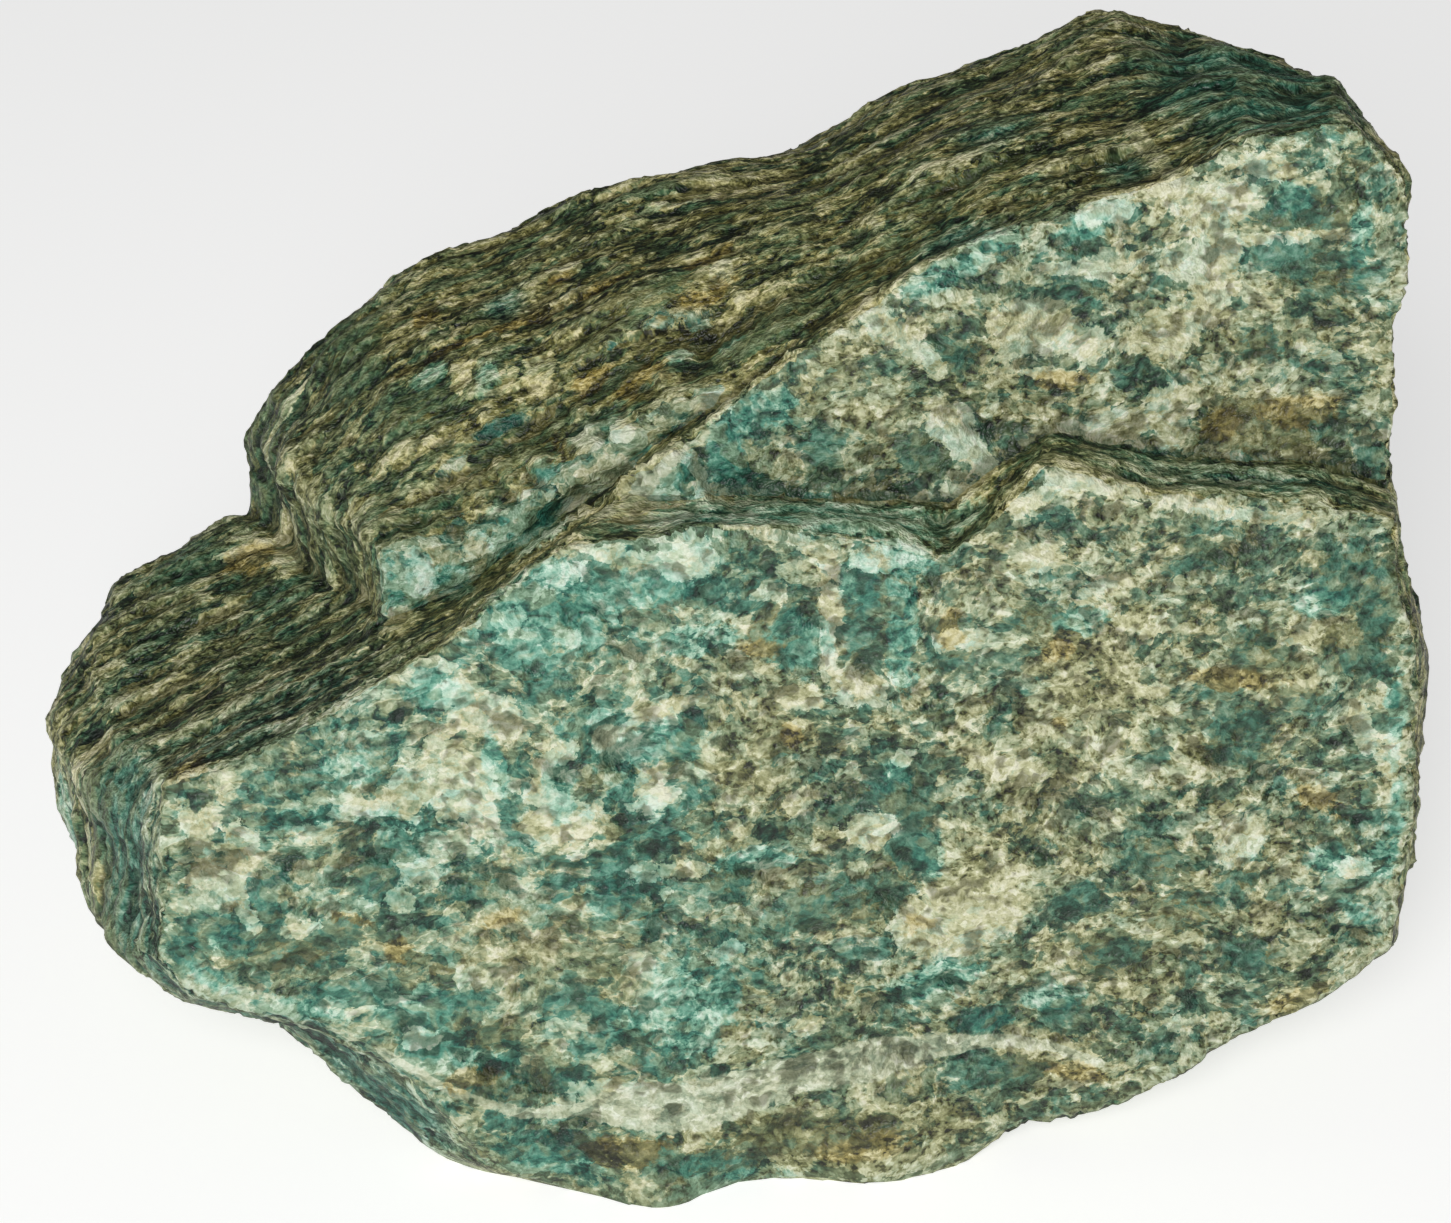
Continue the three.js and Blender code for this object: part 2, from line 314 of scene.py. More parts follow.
class Graph:
    """A node tree that is written as Python."""

    def __init__(self, tree):
        self.tree = tree

    def node(self, kind, settings=None, inputs=None, output=0):
        """Makes a node: its settings first, then values or links for its sockets."""
        made = self.tree.nodes.new(kind)
        for name, value in (settings or {}).items():
            if name == "stops":
                self.set_stops(made.color_ramp, value)
            else:
                setattr(made, name, value)
        for key, value in (inputs or {}).items():
            self.feed(self.find(made.inputs, key), value)
        return Signal(self, self.find(made.outputs, output))

    def end(self, kind, key, value):
        """Makes the node that a tree ends in."""
        self.feed(self.tree.nodes.new(kind).inputs[key], value)

    def find(self, sockets, key):
        if isinstance(key, int):
            return sockets[key]
        return next((s for s in sockets if s.identifier == key), None) or sockets[key]

    def feed(self, socket, value):
        if isinstance(value, Signal):
            self.tree.links.new(value.socket, socket)
        elif socket.type == "RGBA" and len(value) == 3:
            socket.default_value = (*value, 1)
        else:
            socket.default_value = value

    def set_stops(self, ramp, stops):
        while len(ramp.elements) < len(stops):
            ramp.elements.new(1)
        for element, (place, colour) in zip(ramp.elements, stops):
            element.position = place
            element.color = (*colour, 1)

    def sum(self, operation, first, second):
        """One sum of two values, as a Math or a Vector Math node."""
        if not (is_vector(first) or is_vector(second)):
            return self.node("ShaderNodeMath", {"operation": operation}, {0: first, 1: second})
        if operation == "MULTIPLY" and not is_vector(second):
            return self.node("ShaderNodeVectorMath", {"operation": "SCALE"},
                             {0: first, "Scale": second})
        if operation == "MULTIPLY" and not is_vector(first):
            return self.sum(operation, second, first)
        return self.node("ShaderNodeVectorMath", {"operation": operation},
                         {0: first, 1: second})

    def maths(self, operation, *values):
        return self.node("ShaderNodeMath", {"operation": operation},
                         dict(enumerate(values)))

    def dot(self, first, second):
        return self.node("ShaderNodeVectorMath", {"operation": "DOT_PRODUCT"},
                         {0: first, 1: second}, "Value")

    def split(self, vector):
        """The three parts of a vector."""
        parts = self.node("ShaderNodeSeparateXYZ", {}, {0: vector}).socket.node.outputs
        return [Signal(self, part) for part in parts]

    def join(self, x, y, z):
        return self.node("ShaderNodeCombineXYZ", {}, {0: x, 1: y, 2: z})

    def noise(self, at, scale, detail=2, roughness=0.5, output=0):
        """Cloudy noise, about 0.5 on average. The scale is in clouds per millimetre."""
        return self.node("ShaderNodeTexNoise", {}, {
            "Vector": at, "Scale": scale, "Detail": detail, "Roughness": roughness}, output)

    def step(self, value, start, end, low=0.0, high=1.0):
        """A smooth step from low to high as value goes from start to end."""
        return self.node("ShaderNodeMapRange", {"interpolation_type": "SMOOTHSTEP"}, {
            "Value": value, "From Min": start, "From Max": end, "To Min": low, "To Max": high})

    def blend(self, share, first, second):
        """A number between first and second."""
        return self.node("ShaderNodeMix", {"data_type": "FLOAT"}, {
            "Factor_Float": share, "A_Float": first, "B_Float": second}, "Result_Float")


print("node language ready")

# %% [markdown]
# ## Broken edges and split faces
#
# Across the leaves the stone broke one leaf at a time, so each leaf ends a little higher
# or lower than its neighbour, with splinters left standing on it. At the stone's two ends
# whole packs of leaves broke off together. Along the leaves the stone split cleanly, but
# skipped from leaf to leaf here and there, which left low flat terraces. All of it follows
# a rule, so Geometry Nodes make it: one number per leaf decides where the leaf ends, and how
# far a spot faces along `n` decides which of the two kinds of break it gets. Sharp edges
# lose a few chips, and grain covers everything. The resting spot stays flat.
#
# The tree also stores each spot's place in the leaves from before it moved. The finish
# reads that, so a streak of colour follows its leaf out to the end.

# %% Start the relief tree
RELIEF_INPUTS = {
    "Leaf Thickness": 1.3,
    "Leaf Overhang": 1.15,
    "Leaf Wander": 1.3,
    "Splinter Height": 0.4,
    "Terrace Height": 1.5,
    "Chip Depth": 0.6,
    "Grain Height": 0.4,
    "Seed": 3.7,
}

relief_tree = bpy.data.node_groups.new("stone_relief", "GeometryNodeTree")
relief_tree.is_modifier = True
relief_tree.interface.new_socket("Geometry", in_out="INPUT", socket_type="NodeSocketGeometry")
for name in RELIEF_INPUTS:
    relief_tree.interface.new_socket(name, in_out="INPUT", socket_type="NodeSocketFloat")
relief_tree.interface.new_socket("Material", in_out="INPUT", socket_type="NodeSocketMaterial")
relief_tree.interface.new_socket("Geometry", in_out="OUTPUT", socket_type="NodeSocketGeometry")

g = Graph(relief_tree)
group_in = g.node("NodeGroupInput").socket.node
given = {s.name: Signal(g, s) for s in group_in.outputs if s.name}
print("relief inputs:", ", ".join(RELIEF_INPUTS))


# %% Leaf ends, splinters and terraces
def ragged_leaves(spot, thickness, seed):
    """How far out each leaf ends at a spot, from -1 to 1, with a short slope between."""
    s, t, n = g.split(spot)
    wander = (g.noise(spot, 1 / 15, 3) - 0.5) * given["Leaf Wander"]
    count = (n + wander) / thickness
    leaf = g.maths("FLOOR", count)
    slope = g.step(count - leaf, 0.75, 1.0)

    def end_of(number):
        place = g.join(s / 13, t / 9, number * 3.17 + seed)
        return g.noise(place, 1.0, 3, 0.6)

    return g.blend(slope, end_of(leaf), end_of(leaf + 1)) * 2 - 1


def splinters(spot, thickness, seed):
    """Long flat splinters that stand out by different amounts, from -0.5 to 0.5."""
    s, t, n = g.split(spot + (g.noise(spot, 1 / 5, 2, 0.5, 1) - (0.5, 0.5, 0.5)) * 3)
    place = g.join(s / 9, t / 7, n / thickness + seed)
    cells = g.node("ShaderNodeTexVoronoi", {}, {"Vector": place, "Scale": 1}, "Color")
    return g.split(cells)[0] - 0.5


def terraces(spot, seed):
    """Low flat steps between split leaves, from -1 to 1."""
    s, t, n = g.split(spot)
    place = g.join(s / 11, t / 8, n / 30 + seed)
    count = g.noise(place, 1.0, 4, 0.6) * 16
    whole = g.maths("FLOOR", count)
    return (whole + g.step(count - whole, 0.85, 1.0)) / 8 - 1


print("three kinds of broken surface ready")

# %% Find where each spot lies and which way it faces
SPLIT_FACING, END_FACING = (0.72, 0.95), (0.45, 0.8)
smooth = g.node("GeometryNodeSetPosition", {}, {
    "Geometry": given["Geometry"],
    "Position": g.node("GeometryNodeBlurAttribute", {"data_type": "FLOAT_VECTOR"}, {
        "Value": g.node("GeometryNodeInputPosition"), "Iterations": 2}),
})

position = g.node("GeometryNodeInputPosition")
normal = g.node("GeometryNodeInputNormal")
offset = (position - FACE_MIDDLE) * (1 / MILLIMETRE)
spot = g.join(g.dot(offset, ALONG), g.dot(offset, UP_LEAF), g.dot(offset, THROUGH))
facing = g.dot(normal, THROUGH)
split_share = g.step(g.maths("ABSOLUTE", facing), *SPLIT_FACING)
outwards = g.node("ShaderNodeVectorMath", {"operation": "NORMALIZE"},
                  {0: normal - facing * THROUGH})
stone_end = g.step(g.maths("ABSOLUTE", g.dot(normal, ALONG)), *END_FACING)
print("relief tree so far:", len(relief_tree.nodes), "nodes")

# %% Break the leaves, chip the edges and push the skin
THIN_LEAF, PACK_OF_LEAVES, SPLINTER = 0.6, 3.6, 1.5
coarse = ragged_leaves(spot, given["Leaf Thickness"], given["Seed"])
fine = ragged_leaves(spot, given["Leaf Thickness"] * THIN_LEAF, given["Seed"] + 11)
packs = ragged_leaves(spot, given["Leaf Thickness"] * PACK_OF_LEAVES, given["Seed"] + 23)
leaf_ends = coarse + fine * 0.4 + (coarse * 0.4 + packs * 0.8) * stone_end
leaf_ends = leaf_ends * given["Leaf Overhang"]
leaf_ends = leaf_ends + splinters(spot, SPLINTER, given["Seed"]) * given["Splinter Height"]
leaf_ends = leaf_ends * (1 - split_share)
steps = terraces(spot, given["Seed"]) * given["Terrace Height"] * split_share
sided = g.maths("SIGN", facing)

SHARPNESS, CHIP_CUT = (0.06, 0.3), (0.52, 0.58)
sunk = g.node("GeometryNodeBlurAttribute", {"data_type": "FLOAT_VECTOR"}, {
    "Value": position, "Iterations": 12})
edge = g.step(g.dot(position - sunk, normal) * (1 / MILLIMETRE), *SHARPNESS)
chips = edge * g.step(g.noise(spot, 1 / 2.4, 4, 0.65), *CHIP_CUT) * given["Chip Depth"]
grain = (g.noise(spot, 1 / 1.6, 4, 0.7) - 0.5) * 2 * given["Grain Height"]

# Near the resting spot the push fades out, and nothing goes below it.
REST_START, REST_END = 0.0003, 0.005
push = outwards * leaf_ends + steps * sided * THROUGH + normal * (grain - chips)
push = push * MILLIMETRE
push_x, push_y, push_z = g.split(push)
x, y, z = g.split(position)
lift = g.step(z, REST_START, REST_END)
placed = g.join(x + push_x * lift, y + push_y * lift, g.maths("MAXIMUM", z + push_z * lift, 0.0))

remembered = g.node("GeometryNodeStoreNamedAttribute", {"data_type": "FLOAT_VECTOR"}, {
    "Geometry": smooth, "Name": "leaf_spot", "Value": spot})
rough = g.node("GeometryNodeSetPosition", {}, {"Geometry": remembered, "Position": placed})
whole = g.node("GeometryNodeRealizeInstances", {}, {"Geometry": rough})
dressed = g.node("GeometryNodeSetMaterial", {}, {
    "Geometry": whole, "Material": given["Material"]})
g.end("NodeGroupOutput", "Geometry", dressed)
print("relief tree:", len(relief_tree.nodes), "nodes")

# %% Run the relief over the skin, and thin it where it is flat
amazonite = bpy.data.materials.new("amazonite")
amazonite.use_nodes = True
TRIANGLE_LIMIT = 195_000

modifier = stone.modifiers.new("leaf relief", "NODES")
modifier.node_group = relief_tree
for item in relief_tree.interface.items_tree:
    if item.in_out == "INPUT" and item.name in RELIEF_INPUTS:
        modifier[item.identifier] = RELIEF_INPUTS[item.name]
    elif item.in_out == "INPUT" and item.name == "Material":
        modifier[item.identifier] = amazonite
apply_modifiers(stone)
triangles = 2 * len(stone.data.polygons)
thin = stone.modifiers.new("fewer faces where it is flat", "DECIMATE")
thin.ratio = min(1.0, TRIANGLE_LIMIT / triangles)
apply_modifiers(stone)
stone.data.calc_loop_triangles()
print("skin with relief:", len(stone.data.loop_triangles), "triangles")

# %% [markdown]
# ## Where the minerals lie
#
# Pockets lie in the stone as flat lenses between the leaves, and veins run through it as
# lines of short straights. Every point of the skin gets a number for each mineral: 1 deep
# inside a pocket or vein, 0.5 on its outline, 0 outside. The finish later frays that outline
# with noise, so no ellipse is ever seen. Painting by hand would do too, but not as evenly
# round the edges between two faces.

# %% A list of pockets for each mineral
LENS_THICKNESS = 3.0
FRONT_FACE, UPPER_FACE = 0, -7
LENSES = {}


def lay_pockets(mineral, front=(), upper=(), inside=()):
    """Keeps a mineral's pockets: those on the two split faces, and those elsewhere.

    Each pocket is its s and t, its n where it is elsewhere, its half length and half width,
    then its turn in degrees and its thickness where it needs them.
    """
    LENSES[mineral] = [(s, t, FRONT_FACE, *rest) for s, t, *rest in front]
    LENSES[mineral] += [(s, t, UPPER_FACE, *rest) for s, t, *rest in upper]
    LENSES[mineral] += inside
    print(mineral, "has", len(LENSES[mineral]), "pockets")


print("the two split faces lie", FRONT_FACE - UPPER_FACE, "mm apart")

# %% Quartz: pale grey-green and glassy
lay_pockets("quartz", front=[
    (-11.1, -11.2, 1.4, 1.2),
], upper=[
    (-4.6, 11.9, 1.9, 1.1, 20), (-6.6, 9.8, 1.8, 1, 35),
], inside=[
    (-10.5, 13.2, -10.3, 1.8, 1.1, 10), (-10.3, 8.5, -4.6, 1.6, 0.4, -5),
    (40.4, 36.5, -18.7, 0.8, 3, 0, 1.6), (41, 35.8, -15.8, 0.8, 3, 0, 1.8),
    (41.6, 35, -12.6, 0.9, 3, 0, 2), (41.9, 34.6, -9.6, 0.9, 3, 0, 2),
    (3, 25.4, -20.5, 1.1, 3, 0, 1.7), (-0.7, 28.1, -31.5, 1.2, 2, 0, 0.8),
])

# %% Cream feldspar, the palest of the pockets
lay_pockets("cream", front=[
    (-25, -13.5, 3.3, 3.7), (-15.5, -18.7, 3.7, 2.5), (-21.8, -7.6, 3.9, 2.3, -15),
    (-32, -15.8, 2.6, 1.1), (-37.2, -18, 2.3, 1.1), (-45.7, -22.2, 3.2, 1.1, -15),
    (-11.1, -11.4, 1.6, 1.3), (57.8, -15.7, 1.2, 2.8, 15), (57.5, -29.3, 1.8, 1.2, -10),
    (36.6, -4.2, 2.3, 1, -30), (28.1, 2.6, 2.6, 1.4, 20), (-2.9, 5, 2.6, 2.2),
    (30.3, 9.9, 1.9, 1.6), (25.2, -17.1, 3.5, 1.2, -20), (-7.4, -16.5, 1.4, 2.6),
    (-7.5, -24, 2.3, 1), (-29, -15, 2, 3), (-28, -22.5, 2.4, 1.7), (17, 4.6, 1.4, 1.4),
    (27.2, 8.1, 3, 1, 20), (6.3, -18.7, 1.8, 1.4), (-18.8, 0.9, 1.1, 1.2), (-14.7, -1.4, 1.9, 0.9),
    (20.8, -4.2, 2.6, 1.1), (-15.2, -12.3, 2.6, 1.1, 20), (6.4, -8.8, 2.6, 1.2),
    (11.7, -8.2, 3.2, 1.2, 10), (15.6, -15.2, 1.2, 0.9), (12.3, -21.8, 2.3, 1.9, 10),
    (20.4, -31.3, 6.1, 3.7, 10), (46.4, -25.6, 2.6, 2.6), (60.2, -18.8, 1.1, 3.5),
    (37.9, -10.2, 2.6, 0.7, -10), (33.4, -0.5, 2.6, 0.9, 20), (51.7, -6.6, 1.8, 0.9),
    (-11.4, -46.6, 5.3, 1.9, -8), (-29.2, -38.9, 1.8, 1.2), (-39.2, -26.9, 2.1, 0.9),
    (-43.8, -19, 1.8, 2.6), (-46.2, -15.9, 1.2, 1.8), (-30.1, -24.8, 1.4, 1.4),
    (-9, -32.7, 1.4, 1.4), (-4.1, -24.2, 1.8, 1.1), (-14.3, 4.5, 2.6, 1.1),
    (-6.5, -17.2, 2.6, 1.2, 10), (13.8, 3.7, 2.3, 1.2), (-1.2, -32.3, 2.1, 1.2),
    (5.9, -40.5, 1.9, 1.1), (41.3, -43.7, 2.3, 0.9),
], upper=[
    (28.7, 21.8, 3.9, 3.1), (37.3, 12.8, 3.5, 1.6), (35.8, 32.2, 2.6, 1.5, 15),
    (-7.8, 9.8, 0.9, 1.3), (45.4, 27, 2.5, 6.1), (46.7, 31.9, 3.5, 1.9, 10),
    (40.9, 20.9, 3.9, 1.8, 20), (49.4, 35.3, 3.5, 1.1, -10), (16.2, 22.6, 3.5, 1.4, -20),
    (14.5, 24.5, 2.6, 0.9), (35.9, 27.6, 1.8, 1.2), (35.9, 27.4, 3.2, 1.2), (34.1, 20.1, 1.9, 1.8),
    (21.4, 13.6, 2.1, 2.3, 40), (41.5, 13, 2.1, 3), (42.7, 27, 2.3, 1.8), (36.8, 27.4, 2.3, 1.2),
    (22.2, 7.5, 2.3, 0.9, -10),
], inside=[
    (-21.2, 17, -21.8, 1.1, 2.5, 0, 1.6), (-16.9, 17.6, -19.9, 0.8, 2.5, 0, 1.3),
    (-14.1, 18.1, -19.4, 1.8, 2.5, 0, 1.6), (17, 29.3, -18.7, 0.8, 2, 0, 1),
    (-10.2, 24.9, -29.4, 1.2, 2.5, 0, 0.9), (-21.5, 19.9, -27.3, 1.4, 2, 0, 0.7),
    (-38.1, -2.2, -30.2, 1.8, 5.3), (-28.3, -2.3, -10.6, 1.3, 1.5), (-21.3, 4.3, -9.9, 1.6, 1, 30),
    (-17, 9, -10, 1.4, 0.9, 30), (-12, 7.2, -10, 2, 0.8, 25), (-27, 4, -10, 1.2, 0.9),
    (0.8, 7.8, -5.6, 0.7, 2.5, 0, 1.6), (2.2, 7.5, -3.4, 0.8, 2.5, 0, 1.5),
    (4.2, 7, -1.3, 0.9, 2.5, 0, 1.4), (41, 35.8, -15.8, 0.6, 3, 0, 3.4),
    (14, 6.5, -3.7, 9, 2.5, -7, 0.4), (41.8, 34.8, -10.6, 0.6, 3, 0, 3),
    (-5.5, 8.3, -4.2, 4, 1.8, 0, 3.2), (42, 8.3, -3.4, 8, 2.5, -8, 0.6),
    (-25.6, 1.8, -9.9, 2.5, 1, 95), (-14, 8.7, -10.1, 1.1, 0.6, 10), (-7.4, 14, -10.3, 1.1, 1.1),
    (-0.1, 16.2, -10.2, 1.6, 0.7, 20), (1.3, 16.3, -10.3, 1.8, 0.9, 30),
    (-20, -25, -44, 8, 4, 10, 6), (30, 18, -49, 9, 3.5, -15, 6), (64, 8, -21, 4, 22, 5, 0.9),
    (63, -18, -30, 4, 15, 0, 0.8), (-60, -18, -19, 6, 14, 0, 0.8), (-36, 2, -34, 10, 14, 0, 0.7),
    (5, 27, -33.5, 22, 6, 20, 0.7), (42.5, 41.9, -34.6, 3, 3, 0, 1.2),
    (46.7, 42, -38.3, 2, 3, 0, 1),
])

# %% Deep blue-green feldspar
lay_pockets("teal", front=[
    (6.5, -3.2, 3, 2.6), (-2.4, -2.5, 3.5, 1.6), (-5.1, -38.4, 3.9, 4.4), (22.4, -41.7, 2.6, 1.3),
    (-28, -40, 3, 1.8, -10), (-39.8, -35.1, 3.7, 1.2, -15), (-8, -12, 3.9, 1.8, 20),
    (-34.1, -12.1, 3.1, 1.8, 10), (-24.9, -41.7, 4.4, 1.6, -10), (-32.1, -34.6, 1.8, 1.6),
    (-17.2, -52.6, 5.3, 1.2), (18, -37.2, 4.4, 1.9, 10), (-17.3, -2.3, 1.9, 0.8),
    (12.2, 1.8, 2, 2.4), (-15.3, -15.6, 1.4, 3.5), (2.3, -23.9, 3.5, 1.2),
    (14.3, -17.1, 2.1, 1.8, 20), (17.7, -25, 1.4, 2.6), (28.7, -40.1, 3.5, 1.2),
    (54.8, -28.3, 2.1, 1.8), (59.6, -28.7, 1.8, 1.9), (31.6, -3.2, 2.6, 1.2), (53.5, -3, 2.6, 1.6),
    (-11, -38.6, 2.6, 1.1), (-28.1, -35.9, 2.1, 2.6, 30), (-45.4, -27.5, 2.6, 1.8),
    (-38.4, -16.5, 3.5, 1.2), (-31.4, -17.1, 2.1, 0.9), (-5.4, -34.9, 2.6, 2.6),
    (-12.3, -26.6, 1.4, 2.1),
], upper=[
    (20.7, 27.3, 3.9, 1.4, 25), (52.1, 32, 2.2, 1.6), (4.5, 16, 3.5, 1.9, 20), (58.8, 28, 0.9, 4.4),
], inside=[
    (38.6, 34.6, -13.4, 1.8, 3, 0, 3), (25.4, 30, -7.7, 2.3, 1.1, 15), (8.9, 7, -2.4, 3.5, 1.2),
    (-1.7, 7.8, -2.5, 5.3, 1.1), (-56.5, -19.4, -11.9, 1.2, 1.8), (52, 39, -22, 11, 5, -20, 16),
    (-55, -20, -8, 4, 9, 0, 7), (-31.4, -47, -5, 8, 4.5, -39, 4.6),
    (-16.6, 22.1, -28, 1.9, 2.5, 0, 1.9), (-11.6, 22.7, -25, 1.8, 2.5, 0, 1),
    (46, 8.3, -3.7, 14, 1.8, -8, 3.4), (-10.3, 14.1, -11.1, 2.6, 1.8, 10),
    (29.3, 36.3, -23.6, 3.5, 1, 20), (23.3, 29.3, -11.3, 3.5, 1.8, 20),
])

# %% Bright turquoise feldspar
lay_pockets("turquoise", front=[
    (-6.5, 2.5, 4.4, 1.8), (-15.8, 1.4, 6.3, 4.8), (16.5, 3.8, 2, 2.2), (15.6, -3, 1.3, 6.5),
    (-26.2, -5.3, 2.3, 1.8), (-12.7, 2.5, 3.7, 2.6), (60.6, -14, 0.9, 5), (61, -24, 0.8, 4),
    (58, -34.5, 2.4, 1, -40), (-19.9, -52.9, 5, 0.8, -6), (-2, -56.2, 6, 0.8),
    (-48.4, -30.5, 3, 0.9, -30), (-21, -12.7, 0.9, 2.6, 10), (-13, -9.6, 2.4, 1.2, 10),
    (-1.5, -36.5, 1.6, 3),
], upper=[
    (-3.6, 10.6, 2.2, 1.2, 40), (1.2, 12.8, 1.6, 3), (33.7, 30.6, 2.6, 1.2, 20),
], inside=[
    (9, 7, -3.7, 15, 3, -7, 3.2), (-28.8, 1.6, -10.4, 1.4, 2.5), (-23.5, 1.3, -9.9, 2, 1.8),
    (-18.8, 6.9, -9.9, 2.6, 1.2, 30), (-14.5, 10.8, -10.1, 1.6, 1.1, 25),
    (-10.8, 13.4, -10.3, 1.5, 1, 25), (25, 29.6, -7.4, 3, 1.2, 20),
    (16, 32.6, -29.2, 1.2, 2, 0, 0.8), (-23.9, 16.6, -23.5, 1.6, 2.5, 0, 1.4),
    (-19, 17.5, -20.7, 1.1, 2.5, 0, 1.3), (2.9, 21, -14.5, 1.2, 2.5, 0, 1.2),
    (-1.8, 20.6, -15.2, 1.8, 2.5, 0, 1), (52, 37, -10.5, 4, 3, 0, 0.9),
    (57, 38, -13, 3.5, 3, 0, 0.9), (54, 38, -16.5, 3, 3, 0, 0.7), (-26.5, 2, -9.9, 1.3, 2.8),
    (-16, 5.6, -10, 4, 1.6, 28), (47, 36.6, -9, 2.5, 2, 0, 0.8), (-5, 8, -47, 9, 5, 20, 6),
    (45, 25, -48, 6, 5, 0, 6), (-45, -20, -40, 6, 5, 0, 6), (64, 18, -14, 5, 12, 0, 2.2),
    (64, -12, -38, 5, 14, 0, 2), (-60, -28, -26, 7, 9, 0, 2),
])

# %% Dark green pockets
# Several dark pockets deep inside the top's left corner stand for painted shade there, where that
# corner faces away from the light, as well as for dark crystal.
lay_pockets("dark", front=[
    (12.1, 1.3, 2.1, 2.5), (59.5, -2.7, 1.9, 3.7), (16.2, -23.9, 2.3, 2.6, 20),
    (12.4, -18.5, 4.2, 1.1, 25), (-4.1, -12.1, 1.1, 2.6, -30), (28, -2.9, 3, 1.4),
    (-30.8, -21.9, 3, 2.3), (-44.4, -26.5, 3.5, 1.6), (-36, -33.3, 2.6, 0.9), (41.3, -32, 3.5, 2.3),
    (6.7, -28.7, 3.9, 2.3, 20), (-10.4, -24.8, 2.1, 3.5), (47.5, -37.2, 2.6, 1.8),
    (48.5, -8, 3.4, 1.8), (56.3, -1.3, 3.2, 3), (34.5, -36, 3.4, 2.4), (22.4, -41.7, 2.4, 1.2),
    (12.3, -4.3, 1.6, 2.4), (6.8, -4.1, 2, 2), (-28.6, -39, 3.2, 2, -10), (-22.3, -44, 4, 1.1, -8),
    (-41, -29.5, 6, 2, -5), (30.5, -41.5, 2.4, 1.3), (-17, -50.9, 5, 1.7), (7, -51.8, 9, 2, 3),
    (-4, -53.6, 5, 1.4), (-8.4, -19, 1.4, 2.6), (-2.9, -16.6, 1.8, 1.2), (5.6, -3.1, 3.5, 2.1),
    (16, -20.1, 2.1, 2.3), (12.2, -28.6, 4.4, 1.8, 10), (31.5, -30.2, 2.6, 1.8),
    (38, -26.8, 3.5, 1.9, -20), (46.5, -29.6, 2.1, 1.2), (46.4, -16.9, 3.5, 2.1),
    (51.8, -12.4, 2.6, 1.2), (44.4, -10.8, 2.3, 1.2), (42.5, 1.6, 2.1, 1.2), (58.1, -7.1, 1.9, 3.5),
    (-15.5, -36.1, 3.5, 1.4), (-35.6, -27.2, 2.6, 1.4), (-41.4, -22, 1.8, 0.9),
    (-23, -24.6, 3.5, 1.2), (-1.6, -31.3, 2.6, 1.8), (-15.7, -22.4, 2.1, 0.9), (-25.9, -36, 3, 1.9),
    (-16.8, -44.7, 4.4, 1.8), (-8, -42.7, 2.3, 1.2), (48.2, -7.3, 3.5, 2.6), (46.3, -14, 3, 1.8),
    (19.9, -4.1, 2.3, 1.9), (4.8, -1.6, 2.3, 1.9), (-10.7, -51.7, 4.4, 1.1), (-2.5, -54, 4.4, 1.1),
    (24.8, -46.7, 4.4, 1.2), (5.2, -50.8, 4.4, 1.4), (-49, -28.2, 2.3, 2.3), (-1, -25.5, 2.3, 1.8),
    (6.9, -4.6, 2.3, 1.9), (20.3, -5.6, 2.3, 1.9), (55.3, -7.8, 2.3, 2.5), (-22.3, -38.9, 2.5, 1.9),
    (-22.3, -45, 2.5, 1.1),
], upper=[
    (53, 30.6, 4, 2.3), (55.8, 25, 4.4, 1.9), (20, 11.4, 3, 1.9), (33.7, 26.9, 2.6, 2.3),
    (54.3, 10.7, 2.6, 1.4), (49.6, 11.6, 5.6, 2.6, -5), (29.1, 20.4, 2.8, 1.8),
    (49.8, 18.9, 3, 1.6), (20.6, 20.5, 3.5, 1.6, -20), (52.2, 27.5, 3.1, 1.9),
], inside=[
    (52, 39, -22, 10, 4.5, -20, 15), (-55, -23, -11, 4, 12, 0, 8),
    (4.8, 23.5, -16.5, 0.8, 2, 0, 0.7), (38.6, 34.6, -13.4, 1.6, 3, 0, 2.6),
    (24, 31, -19, 12, 4, 15, 1.1), (33, 34, -25, 14, 4, 15, 1.3), (14, 30, -28, 10, 4, 15, 0.9),
    (40, 36, -31, 12, 4, 15, 1.2), (-32, -46, -4.5, 5, 3, -39, 3.4), (-31, 17.3, -34, 5, 4, 0, 5),
    (-39, 9, -36, 3.5, 5, 0, 5), (-40.3, -3.1, -29, 4, 4, 0, 4),
    (-25.2, 13.6, -19.9, 4, 3, 10, 1.2), (-26.9, 14.1, -22, 5.3, 1.2, 10),
    (-4.6, 23.4, -20.2, 5.3, 1.2, 20), (18.5, 27.9, -14.6, 7, 1.4, 25),
    (5.5, 21.7, -13.4, 7, 1.4, 30), (-18.2, 13.4, -15.4, 5.3, 1, 20),
    (-10.1, 7.7, -2.3, 1.6, 0.6, 5), (15, -8, -46, 9, 4, 0, 6), (-30, 2, -44, 6, 4, 0, 6),
    (64, -5, -26, 4, 16, 0, 0.8), (-37.6, 10.8, -34.3, 5, 3, 0, 2.4),
    (-30.3, 14.9, -28.3, 5, 3, 0, 1.6), (-24.1, 15, -21.2, 4, 3, 0, 1.4),
    (-40.3, 3.4, -38.2, 3, 4, 0, 3), (-47.7, -3.6, -35.1, 4, 3, 0, 2),
    (-31.5, -49.6, -5.9, 3, 1.2, 40), (-24.3, 13.7, -19.4, 3, 3, 0, 1),
    (-18.1, 13.8, -15.7, 3, 3, 0, 1), (-10.8, 19.8, -19.5, 3, 3, 0, 1),
    (-1.9, 29.9, -36.1, 3, 3, 0, 1),
])

